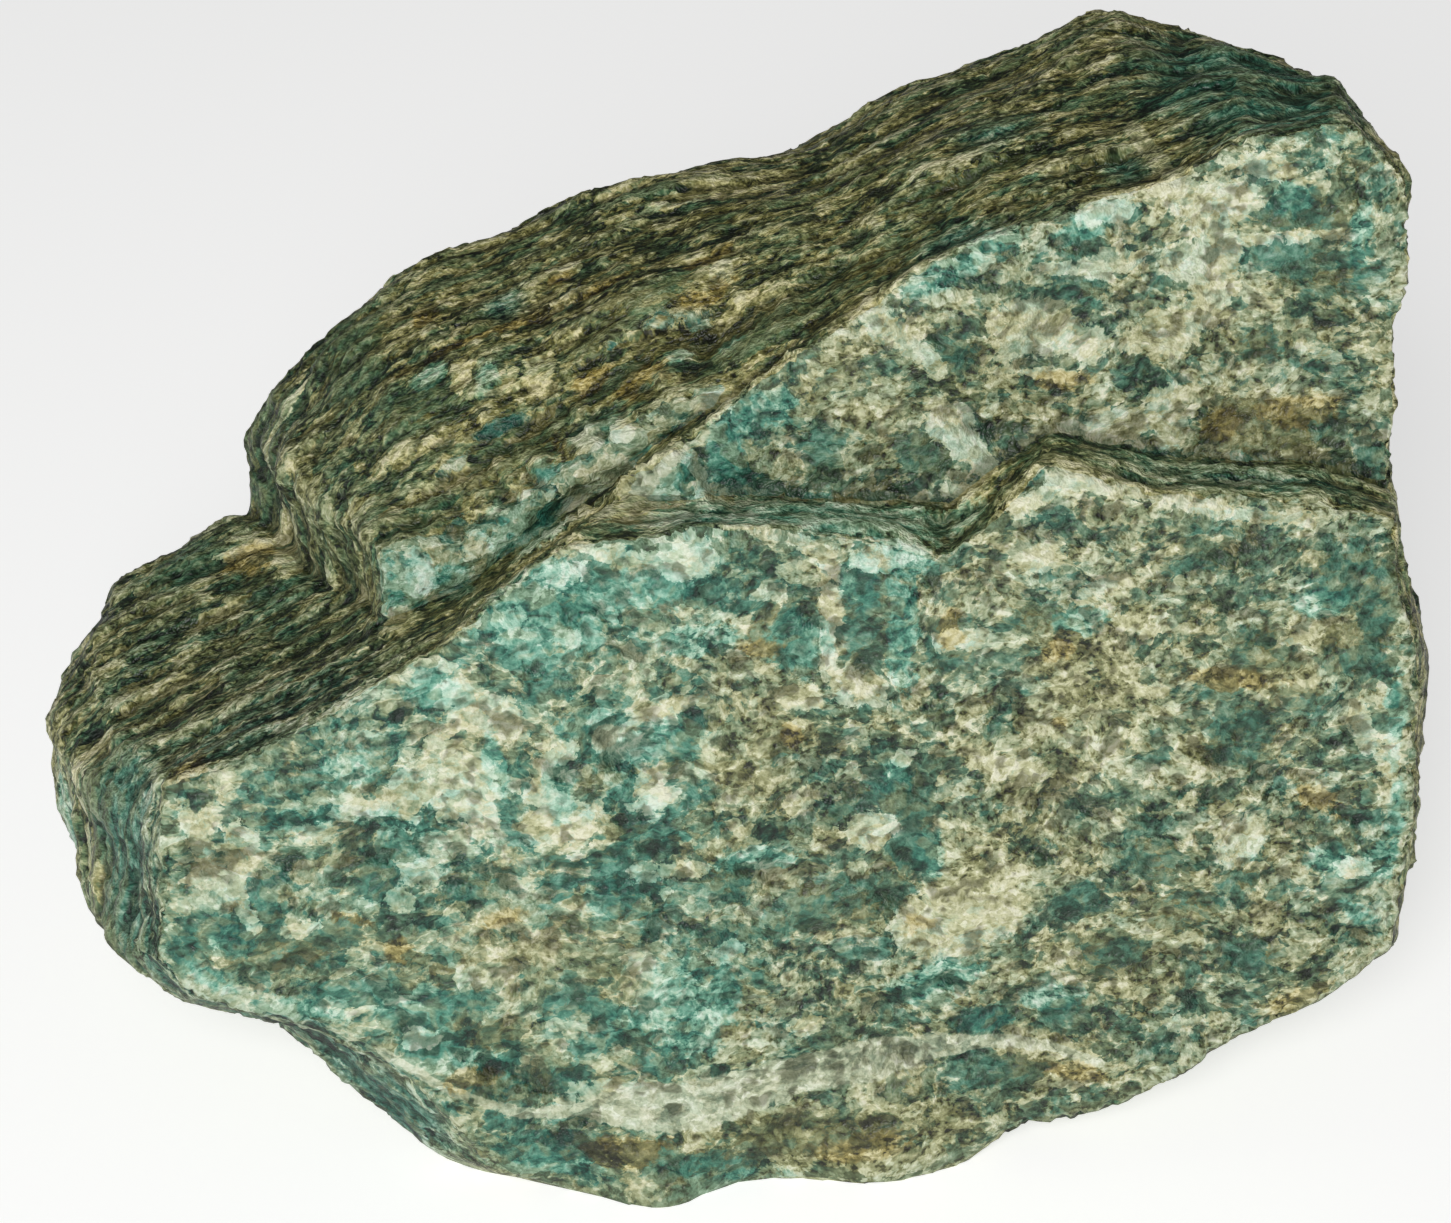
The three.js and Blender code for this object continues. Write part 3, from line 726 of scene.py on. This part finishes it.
# %% Ground that leans to buff
lay_pockets("buff", front=[
    (-23.8, -38.3, 5.3, 2.3, 20), (0.7, -15, 5.3, 3.5), (34.3, -5.3, 7.9, 4.4),
    (36.2, -35.7, 10.5, 3.5, 10), (24.1, -25.6, 7.9, 5.3), (-12.6, -33.4, 4.4, 3.5),
    (10.7, -53.8, 9.6, 2.3, 5), (29.5, -46.2, 5.3, 2.6, -20), (51.7, -7.5, 5.3, 4.4),
    (33.4, -11, 7, 4.4), (2.6, -12.3, 4.4, 2.1), (28, -18.4, 6.1, 2.6, 20), (31.5, -36.4, 6.1, 2.6),
    (40.6, -3.8, 5.3, 2.1), (-20, -30.3, 8, 3.6, 8), (-41, -29.5, 7, 2.6, -5), (48.5, -9, 4, 2.6),
    (34, -38, 6, 4), (6, -52, 12, 3, 3),
], upper=[
    (12.5, 17.4, 7, 3.5, -10), (45.9, 20.6, 7.9, 3.5), (8.1, 17.7, 5.3, 2.6, -20),
    (25.9, 15.6, 7, 1.8), (49, 11.6, 6, 3, -5),
])

# %% Rust spots
lay_pockets("rust", front=[
    (19.9, -3.2, 1.1, 1.9), (5.5, -12.1, 0.9, 1.2), (31.4, -47.6, 2.8, 1, -20),
    (11.6, -53.1, 4.4, 1.6, 8), (-34.7, -26.4, 1.8, 0.7, -20), (-30.6, -29.6, 1.2, 1.3),
    (45.8, -10, 3.9, 1.2, -5), (29.8, -12.9, 0.7, 0.7), (53.8, -22.3, 2.6, 1.2, -30),
    (52.2, -42.2, 3.5, 1.2, 20), (-11.6, -51.7, 4, 1.6), (2.9, -3.8, 1.8, 0.7),
    (16.7, -31.5, 1.2, 0.9), (29.8, -5.9, 1.4, 1.2), (-25, -43.2, 2.3, 1.1),
    (-21.4, -27.7, 1.8, 0.9),
], upper=[
    (46, 11.8, 2.2, 1.5), (51.5, 12.5, 1.8, 1), (53.3, 12.7, 3.5, 1.6), (31.3, 17.1, 2.6, 0.9),
], inside=[
    (-23.8, 20.2, -31.1, 1.4, 2.5, 0, 1.2), (-10, 18.1, -16.7, 2.3, 2.5, 0, 1),
    (1.5, 26, -22.5, 1.9, 2.5, 0, 1), (3.4, 27, -23.4, 1.1, 2.5, 0, 0.9),
    (-11.6, 24.2, -28.4, 1.1, 2.5, 0, 0.8), (-47.6, -11.6, -1.3, 1.6, 0.5, 20),
    (-5.6, 17.5, -12.7, 3.5, 0.8, 25), (0.7, 23.5, -18.5, 3.5, 0.8, 20),
    (-41.9, -2.4, -31.6, 2.6, 1.1, 10), (-13.4, 12.5, -11.1, 0.7, 1.2, -20),
    (5, 20, -48, 9, 3.5, 10, 6), (40, -15, -42, 6, 3, 0, 6), (64, 12, -33, 4, 14, 0, 0.8),
    (-61, -22, -33, 5, 12, 0, 0.9), (-14, 19, -25, 14, 6, 20, 0.7),
])

# %% Veins
# Each vein: the lowest and highest n it reaches, and its line, as s, t and half width.
VEINS = {
    "quartz": [
        (-3, 3, [(-32.9, -39.8, 0.5), (-27.7, -43.6, 0.5), (-20.6, -47.1, 0.5),
                 (-16.9, -47.5, 0.7), (-13.2, -47.2, 1.4), (-8.7, -47.7, 2.3),
                 (-4, -47.6, 2.6), (0.6, -46.8, 2.3), (5.3, -45.4, 1.9), (9.9, -44.8, 2),
                 (14.6, -44.3, 1.8), (18.4, -43.8, 1.1), (23.9, -43.8, 0.6),
                 (28.6, -44.7, 0.5), (33.3, -46.8, 0.5)]),
        (-20, -5, [(40.8, 36.1, 0.7), (41.7, 35, 0.9), (42, 34.2, 0.8)]),
        (-60, -36, [(-50, -26, 0.8), (-28, -12, 1.3), (-6, -10, 1.8), (18, 4, 1.3),
                    (40, 8, 1.5), (60, 20, 0.8)]),
    ],
    # The two dark veins follow the upper risers of the flight of steps: painted shade along the
    # risers.
    "dark": [
        (-22, -8.3, [(-31.5, 7, 0.3), (-25.7, 6, 0.4), (-22.1, 6.5, 0.4), (-17.5, 9.3, 0.4),
                     (-13.8, 11.4, 0.4), (-8.3, 14.7, 0.4), (-2.5, 18.4, 0.3)]),
        (-22, -8.3, [(-32, 8.3, 0.3), (-26.3, 7.3, 0.4), (-22.7, 7.8, 0.4), (-18.1, 10.6, 0.4),
                     (-14.4, 12.7, 0.4), (-8.9, 16, 0.4), (-3.1, 19.7, 0.3)]),
    ],
    "cream": [
        (-10, 3, [(-3.1, 13.4, 0.6), (-1.9, 12.1, 0.6), (-1.2, 10.8, 0.6), (-1, 9.1, 0.6),
                  (0.7, 8, 0.5), (2.7, 7.6, 0.5), (5.1, 6.8, 0.5), (7.2, 5.6, 0.6),
                  (9.2, 4.4, 0.8), (9.4, 0.3, 0.8), (9.1, -3.3, 0.75), (9, -6.8, 0.8),
                  (10.8, -8.1, 1.6), (13.5, -9.3, 0.9)]),
        (-9, -5, [(41.3, 34, 1.8), (44, 32, 2.2), (45.7, 28.8, 1.9), (45, 25.2, 2),
                  (43.6, 21.7, 1.8), (41.8, 19.5, 1.3)]),
        (-9, -5, [(29.3, 27.6, 0.5), (33.2, 26.8, 0.5), (36.3, 25.9, 0.5)]),
        (-9, -5, [(48.9, 28.5, 0.4), (53, 28.5, 0.5), (56.7, 28.6, 0.4)]),
        (-9, -5, [(24.6, 18.4, 0.5), (28.7, 17.9, 0.6), (32.7, 17.5, 0.5)]),
        (-9, -5, [(53.2, 18.7, 0.5), (56.4, 17.2, 0.6)]),
        (-9, -5, [(20.1, 15.5, 1.1), (22.3, 12.1, 1.4), (24.5, 9.2, 1.1)]),
        (-9, -5, [(17.5, 21.7, 0.9), (20.1, 19.2, 1.1)]),
        (-3, 3, [(30, 10.7, 0.8), (34.4, 9.1, 0.9), (40.6, 7.3, 0.8), (46, 5.6, 0.7),
                 (52.4, 4.6, 0.7)]),
        (-3, 3, [(-12.9, 6.8, 0.6), (-9, 5.4, 1), (-5.1, 5.1, 0.9), (-2, 5.8, 0.5)]),
        (-3, 3, [(-2.6, -8.1, 0.7), (-8, -9.6, 0.7), (-10.7, -11.7, 0.8)]),
        (-3, 3, [(-25.7, -10.5, 1.2), (-23.7, -14, 2.5), (-22.5, -17.5, 1.6)]),
        (-3, 3, [(-17.1, -16, 1.6), (-14.6, -18.6, 2.1), (-14.3, -21.5, 0.9)]),
        (-3, 3, [(-24.1, -5.4, 1.2), (-21.1, -8, 1.8), (-18.6, -10.1, 0.9)]),
        (-3, 3, [(-48.7, -13.9, 0.5), (-47.3, -18.7, 0.9), (-45.5, -22.6, 0.9),
                 (-42.7, -26.7, 0.7)]),
    ],
}
print(sum(map(len, LENSES.values())), "pockets and", sum(map(len, VEINS.values())), "veins")


# %% Mark the minerals on the skin
def store_on_skin(name, values):
    """Keeps one number for each point of the skin, for the finish to read."""
    attribute = stone.data.attributes.new(name, "FLOAT", "POINT")
    attribute.data.foreach_set("value", values.astype(np.float32))


def ragged_width(half_width):
    """How wide the ragged edge of a mark is, in millimetres: wider on a wider mark."""
    return 0.8 + 0.55 * half_width


def vein_share(spots, lowest, highest, line):
    """A vein's share of each spot: 1 in its middle, 0.5 on its outline, 0 outside."""
    s, t, n = spots.T
    share = np.zeros(len(spots))
    for (s0, t0, width0), (s1, t1, width1) in zip(line, line[1:]):
        length = math.hypot(s1 - s0, t1 - t0)
        along = ((s - s0) * (s1 - s0) + (t - t0) * (t1 - t0)) / length ** 2
        along = np.clip(along, 0, 1)
        distance = np.hypot(s - s0 - along * (s1 - s0), t - t0 - along * (t1 - t0))
        width = width0 + (width1 - width0) * along
        share = np.maximum(share, 0.5 + (width - distance) / ragged_width(width))
    return share * np.clip(n - lowest, 0, 1) * np.clip(highest - n, 0, 1)


def lens_share(spots, s, t, n, half_length, half_width, turn=0, thickness=LENS_THICKNESS):
    """A pocket's share of each spot, as for a vein."""
    away = spots - np.array((s, t, n))
    cosine, sine = math.cos(math.radians(turn)), math.sin(math.radians(turn))
    along = away[:, 0] * cosine + away[:, 1] * sine
    across = away[:, 1] * cosine - away[:, 0] * sine
    reach = np.sqrt((along / half_length) ** 2 + (across / half_width) ** 2
                    + (away[:, 2] / thickness) ** 2)
    narrow = min(half_length, half_width)
    return 0.5 + (1 - reach) * narrow / ragged_width(narrow)


spots = in_leaves(read_points(stone.data))
for mineral, lenses in LENSES.items():
    shares = [lens_share(spots, *lens) for lens in lenses]
    shares += [vein_share(spots, *vein) for vein in VEINS.get(mineral, [])]
    share = np.clip(np.max(shares, axis=0), 0, 1)
    store_on_skin(mineral, share)
    print(mineral, "covers", round(100 * float((share > 0.5).mean()), 1), "% of the skin")

# %% [markdown]
# ## Crests and hollows
#
# The raised edges get a painted highlight and the hollows get painted shade. The skin tells
# them apart: each point is compared with the average of its neighbours. The same averages
# tell how squarely the broad shape faces along the leaves, and where it hangs over and
# gets painted shade as well.

# %% Measure crests, split faces and overhangs
edges = np.empty(len(stone.data.edges) * 2, np.int32)
stone.data.edges.foreach_get("vertices", edges)
edge_a, edge_b = edges.reshape(-1, 2).T
count = len(stone.data.vertices)
neighbours = np.bincount(np.concatenate((edge_a, edge_b)), minlength=count)


def averaged(values, rounds):
    """Each point's value mixed with its neighbours', over and over."""
    for _ in range(rounds):
        total = np.stack([
            np.bincount(edge_a, values[edge_b, k], count)
            + np.bincount(edge_b, values[edge_a, k], count)
            for k in range(values.shape[1])], axis=1)
        values = (values + total) / (1 + neighbours)[:, None]
    return values


normals = np.empty(count * 3, np.float32)
stone.data.vertices.foreach_get("normal", normals)
normals = normals.reshape(-1, 3).astype(float)
CREST_SCALE = 0.35
SPLIT_START, SPLIT_RUN = 0.62, 0.3
UNDER_START, UNDER_RUN = 0.2, 0.55
raised = np.einsum("ij,ij->i", spots - averaged(spots, 8), normals @ LEAF_AXES.T)
broad = averaged(normals, 6)
broad /= np.linalg.norm(broad, axis=1)[:, None]
square_on = np.abs(broad @ np.array(THROUGH))
store_on_skin("crest", np.clip(0.5 + raised / CREST_SCALE, 0, 1))
store_on_skin("split_face", np.clip((square_on - SPLIT_START) / SPLIT_RUN, 0, 1))
# Where the broad shape hangs over, for the painted shade under it.
store_on_skin("underside", np.clip((UNDER_START - broad[:, 2]) / UNDER_RUN, 0, 1))
print("crests stand up to", round(float(raised.max()), 2), "mm")

# %% [markdown]
# ## The finish
#
# The colour is a solid pattern: it fills the whole stone, pressed flat along `n`. Seen on a
# split face it makes blotches of blue-green crystal in a buff ground. Where the break cuts
# across the leaves, the very same pattern shows as thin streaks. No image is needed, and
# the two kinds of face fit together at every edge.
#
# Two things are worked out first, how light a spot is and how far it leans from blue-green
# to buff, and colour ramps turn them into minerals. The dark pockets go in before the pale
# ones, because the pale veins cut through everything older.

# %% Colours of the minerals
def paint(code):
    """A colour written as #rrggbb, as the linear numbers that a shader takes."""
    channels = [int(code[k:k + 2], 16) / 255 for k in (1, 3, 5)]
    return tuple(c / 12.92 if c <= 0.04045 else ((c + 0.055) / 1.055) ** 2.4 for c in channels)


def stops(*pairs):
    return [(place, paint(code)) for place, code in pairs]


TEAL = stops((0.08, "#07251b"), (0.16, "#143b2b"), (0.25, "#275543"), (0.41, "#4d806a"),
             (0.50, "#66947e"), (0.60, "#81a692"), (0.68, "#98b8a4"), (0.82, "#b4d5c1"),
             (0.92, "#d6e7d7"))
BUFF = stops((0.08, "#1a1c0a"), (0.16, "#2e3118"), (0.25, "#4b4f2b"), (0.36, "#66683c"),
             (0.45, "#7b7d50"), (0.54, "#909264"), (0.62, "#a6a77b"), (0.73, "#c0c094"),
             (0.82, "#d0d0a8"), (0.92, "#e5e4c9"))
VIVID_TEAL = stops((0.16, "#063a30"), (0.25, "#12574b"), (0.37, "#377a67"), (0.48, "#579882"),
                   (0.60, "#7fb69f"), (0.74, "#aad4be"), (0.9, "#d8eede"))
QUARTZ = stops((0.30, "#3f4a38"), (0.45, "#68745c"), (0.60, "#939d80"), (0.75, "#bfc6a6"),
               (0.90, "#e6ead6"))
RUST = stops((0.16, "#2e280c"), (0.25, "#484218"), (0.36, "#6a602c"), (0.48, "#8c7e42"),
             (0.60, "#b0a060"), (0.8, "#d8cc94"))
print("darkest and palest blue-green:", np.round(TEAL[0][1], 3), np.round(TEAL[-1][1], 3))

# %% Start the finish
m = Graph(amazonite.node_tree)
m.tree.nodes.clear()


def mark(name):
    return m.node("ShaderNodeAttribute", {"attribute_name": name}, {}, "Fac")


def ramp(value, colours):
    return m.node("ShaderNodeValToRGB", {"stops": colours}, {0: value})


def over(share, under, top):
    """The top colour over the one under it."""
    return m.node("ShaderNodeMix", {"data_type": "RGBA"}, {
        "Factor_Float": share, "A_Color": under, "B_Color": top}, "Result_Color")


def tinted(colour, tint, share=1.0):
    return m.node("ShaderNodeMix", {"data_type": "RGBA", "blend_type": "MULTIPLY"}, {
        "Factor_Float": share, "A_Color": colour, "B_Color": tint}, "Result_Color")


print("colour helpers ready")

# %% Coordinates pressed flat along n
ON_SPLIT_FACE = (0.8, 1.15, 1.2)
ON_BROKEN_EDGE = (0.5, 0.55, 1.9)
FINE_PRESS = (0.9, 1.05, 1.6)
leaves = m.node("ShaderNodeAttribute", {"attribute_name": "leaf_spot"}, {}, "Vector")
drift = (m.noise(leaves, 1 / 14, 3, 0.5, 1) - (0.5, 0.5, 0.5)) * (4, 4, 0.9)
rock = leaves + drift
fine_rock = rock * FINE_PRESS
edge_noise = m.noise(rock, 0.5, 6, 0.7) - 0.5
split_face = m.step(mark("split_face") + edge_noise * 0.6, 0.42, 0.5)
broken = 1 - split_face
rock = rock * m.node("ShaderNodeMix", {"data_type": "VECTOR"}, {
    "Factor_Float": split_face, "A_Vector": ON_BROKEN_EDGE, "B_Vector": ON_SPLIT_FACE,
}, "Result_Vector")
print("coordinates:", len(m.tree.nodes), "nodes")


# %% Grains of three sizes
def bent(at, size):
    """Coordinates with a wave of about the grain's own size in them."""
    wave = m.noise(at, 1.2 / size, 3, 0.6, 1) - (0.5, 0.5, 0.5)
    return at + wave * (0.9 * size)


def grains(at, size):
    """Irregular grains: three numbers from 0 to 1 that differ from grain to grain."""
    cells = m.node("ShaderNodeTexVoronoi", {}, {"Vector": at, "Scale": 1 / size}, "Color")
    return m.split(cells)


BIG_GRAIN, SMALL_GRAIN, TINY_GRAIN = 3.0, 1.3, 0.5
big_at, small_at = bent(rock, BIG_GRAIN), bent(rock, SMALL_GRAIN)
big_light, big_hue, big_kind = grains(big_at, BIG_GRAIN)
small_light, small_hue, small_kind = grains(small_at, SMALL_GRAIN)
tiny_light, tiny_hue, _ = grains(bent(fine_rock, TINY_GRAIN), TINY_GRAIN)
blotch = m.noise(rock, 0.4, 5, 0.66) - 0.5
fine = m.noise(fine_rock, 1.3, 2, 0.7) - 0.5
cloud = m.noise(rock, 0.07, 3, 0.5) - 0.5
hue_noise = m.noise(rock, 0.2, 5, 0.6) - 0.5
print("grains of", BIG_GRAIN, SMALL_GRAIN, TINY_GRAIN, "mm")


# %% Frayed minerals, threads and crevices
def frayed(name, width=0.05, fray=1.0):
    """A mineral's share with an outline that follows the grains."""
    field = mark(name) + (small_kind - 0.5) * (0.3 * fray) + edge_noise * (1.9 * fray)
    return m.step(field, 0.5 - width, 0.5 + width)


def borders(at, size, width):
    """1 on the border between two grains, 0 inside them."""
    cells = m.node("ShaderNodeTexVoronoi", {"feature": "DISTANCE_TO_EDGE"}, {
        "Vector": at, "Scale": 1 / size})
    return m.step(cells, 0.0, width / size, 1.0, 0.0)


leaf_s, leaf_t, leaf_n = m.split(leaves)
left = m.step(leaf_s + cloud * 40, 6.0, -8.0) * split_face
matrix = ((big_kind - 0.5) * 0.35 + (small_kind - 0.5) * 0.4 + blotch * 1.6 + cloud * 0.8
          + (mark("buff") - mark("dark")) * 0.25 + broken * 0.02)
matrix = m.step(matrix, -0.05, 0.02)
threads = borders(big_at, BIG_GRAIN, 0.22) * m.step(hue_noise, -0.01, 0.02)
crevices = borders(small_at, SMALL_GRAIN, 0.14) * m.step(edge_noise, 0.0, 0.03)
specks = m.step(fine, -0.06, -0.13) * matrix * (1 - left) * split_face
cream = frayed("cream")
quartz = frayed("quartz", 0.08, 0.55)
dark = frayed("dark")
print("minerals:", len(m.tree.nodes), "nodes")

# %% How light each spot is
grain_light = ((big_light - 0.5) * 0.14 + (small_light - 0.5) * 0.24
               + (tiny_light - 0.5) * (0.08 + matrix * 0.16) + fine * 0.9)
grain_light = grain_light * (1 + broken * 0.4 - left * 0.12) + (big_light - 0.5) * left * 0.12
ground = matrix * (0.20 - left * 0.04) + cloud * 0.2 + blotch * (0.5 - left * 0.1)
# How light the plain rock and each mineral are, from 0 to 1.
PLAIN_LIGHT, TURQUOISE_LIGHT, DARK_LIGHT = 0.372, 0.50, 0.34
CREAM_LIGHT, QUARTZ_LIGHT = 0.77, 0.715
lightness = (PLAIN_LIGHT - broken * 0.07 + left * 0.04 + grain_light + ground + threads * 0.16
             - crevices * (0.10 + broken * 0.12) - specks * 0.16)
lightness = m.blend(frayed("turquoise") * (0.6 + broken * 0.2), lightness,
                    TURQUOISE_LIGHT + broken * 0.16 + grain_light * 0.9)
lightness = m.blend(dark * 0.7, lightness, DARK_LIGHT + broken * 0.03 + grain_light * 0.6)
lightness = m.blend(cream * 0.9, lightness, CREAM_LIGHT + grain_light * 0.85)
lightness = m.blend(quartz * 0.92, lightness, QUARTZ_LIGHT + grain_light * 0.8)

# Weather left the shelf bluer; painted shade darkens the top's left corner, which faces away from
# the light; the lower edge is darker and browner.
far_left = m.step(leaf_s, -22.0, -36.0) * broken
low_edge = m.step(leaf_t, -46.0, -51.0) * split_face * (1 - quartz)
shaded_top_corner = m.step(leaf_n, -18.0, -27.0) * m.step(leaf_t, -2.0, 6.0)
lightness = lightness + far_left * (0.025 - shaded_top_corner * 0.085) - low_edge * 0.055
far_left = far_left * (1 + m.step(leaf_n, -14.0, -4.0) * 1.6)
print("lightness:", len(m.tree.nodes), "nodes")

# %% How far each spot leans from blue-green, 0, to buff, 1
PLAIN_HUE = 0.30
hue = (PLAIN_HUE - left * 0.12 + hue_noise * (1 + left * 0.3) + (big_hue - 0.5) * 0.35
       + (small_hue - 0.5) * 0.3 + (tiny_hue - 0.5) * 0.2 + matrix * 0.38
       + mark("buff") * 0.22 + cream * 0.25 - dark * split_face * 0.15
       + threads * 0.2 + specks * 0.2
       + broken * (0.24 - mark("teal") * 0.5) - far_left * 0.12 + low_edge * 0.1)
colour = over(left * 0.5, ramp(lightness, TEAL), ramp(lightness, VIVID_TEAL))
colour = over(hue, colour, ramp(lightness, BUFF))
vivid = m.maths("MAXIMUM", frayed("teal", 0.15) * (0.8 - broken * 0.6),
                frayed("turquoise", 0.15) * (0.9 - broken * 0.2))
colour = over(vivid, colour, ramp(lightness, VIVID_TEAL))
colour = over(quartz * 0.8, colour, ramp(lightness, QUARTZ))
colour = over(frayed("rust", 0.15) * 0.8, colour, ramp(lightness, RUST))
print("minerals coloured:", len(m.tree.nodes), "nodes")

# %% Broken-face tint, painted shade, painted highlight and the shader
bluish = m.maths("MAXIMUM", mark("teal"), mark("turquoise"))
edge_tint = over(split_face + far_left * 0.3 + bluish * 0.7, (1.05, 0.98, 0.74), (1, 1, 1))
colour = tinted(colour, edge_tint)
crest = mark("crest")
# Painted shade darkens the hollows.
colour = tinted(colour, over(m.step(crest, 0.1, 0.5), (0.4, 0.4, 0.35), (1.0, 1.0, 1.0)))
# Painted shade under the overhangs, tinted blue-green.
colour = tinted(colour, (0.55, 0.68, 0.7), mark("underside"))
# A painted highlight pales the raised edges.
colour = over(m.step(crest, 0.62, 0.95) * 0.33, colour, ramp(lightness + 0.2, BUFF))

BUMP_STRENGTH, BUMP_DISTANCE = 0.5, 0.0006
grit = fine * 1.7 + tiny_light * 0.6
shader = m.node("ShaderNodeBsdfPrincipled", {}, {
    "Base Color": colour,
    "Roughness": m.step(small_hue, 0.0, 1.0, 0.62, 0.42),
    "Normal": m.node("ShaderNodeBump", {}, {
        "Strength": BUMP_STRENGTH, "Distance": BUMP_DISTANCE,
        "Height": grit * (2 - mark("split_face"))}),
})
m.end("ShaderNodeOutputMaterial", "Surface", shader)
print("finish:", len(m.tree.nodes), "nodes")

# %% [markdown]
# ## One piece, riding on the stone's body
#
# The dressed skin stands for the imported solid, which is then hidden.

# %% Hand the piece over
stone.data.materials.clear()
stone.data.materials.append(amazonite)
stone.data.shade_smooth()
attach(stone, "root")
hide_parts("amazonite_stone")
print(stone.name, "stands for the packed stone")

# %% [markdown]
# ## Studio
#
# A plain pale floor, one broad soft light from the camera's side, so that the split faces
# are bright and the broken tops fall into half shade, and a dim even sky.

# %% Floor
FLOOR_SIZE, FLOOR_ROUGHNESS, FLOOR_GLOW = 3.0, 0.8, 0.5
floor_mesh = bpy.data.meshes.new("floor")
half = FLOOR_SIZE / 2
floor_mesh.from_pydata([(-half, -half, 0), (half, -half, 0), (half, half, 0), (-half, half, 0)],
                       [], [(0, 1, 2, 3)])
floor = bpy.data.objects.new("floor", floor_mesh)
bpy.context.scene.collection.objects.link(floor)
floor_finish = bpy.data.materials.new("pale_floor")
floor_finish.use_nodes = True
floor_shader = floor_finish.node_tree.nodes["Principled BSDF"]
floor_shader.inputs["Base Color"].default_value = (0.88, 0.88, 0.87, 1)
floor_shader.inputs["Roughness"].default_value = FLOOR_ROUGHNESS
floor_shader.inputs["Emission Color"].default_value = (1, 1, 1, 1)
floor_shader.inputs["Emission Strength"].default_value = FLOOR_GLOW
floor_mesh.materials.append(floor_finish)
print("floor", FLOOR_SIZE, "m wide")


# %% Light
def soft_light(name, direction, distance, size, power):
    """A square area light that looks at the stone."""
    light = bpy.data.lights.new(name, "AREA")
    light.size = size
    light.energy = power
    lamp = bpy.data.objects.new(name, light)
    away = Vector(direction).normalized()
    lamp.location = FACE_MIDDLE + away * distance
    lamp.rotation_euler = away.to_track_quat("Z", "Y").to_euler()
    bpy.context.scene.collection.objects.link(lamp)


KEY_SIDE, KEY_DISTANCE, KEY_SIZE, KEY_WATTS = (-0.14, -0.8, 0.58), 1.0, 0.5, 7.6
soft_light("key", KEY_SIDE, KEY_DISTANCE, KEY_SIZE, KEY_WATTS)
SKY_STRENGTH = 0.1
world = bpy.data.worlds.new("dim sky")
world.use_nodes = True
world.node_tree.nodes["Background"].inputs["Color"].default_value = (1, 1, 1, 1)
world.node_tree.nodes["Background"].inputs["Strength"].default_value = SKY_STRENGTH
bpy.context.scene.world = world
bpy.context.scene.view_settings.view_transform = "Standard"
print("studio ready")
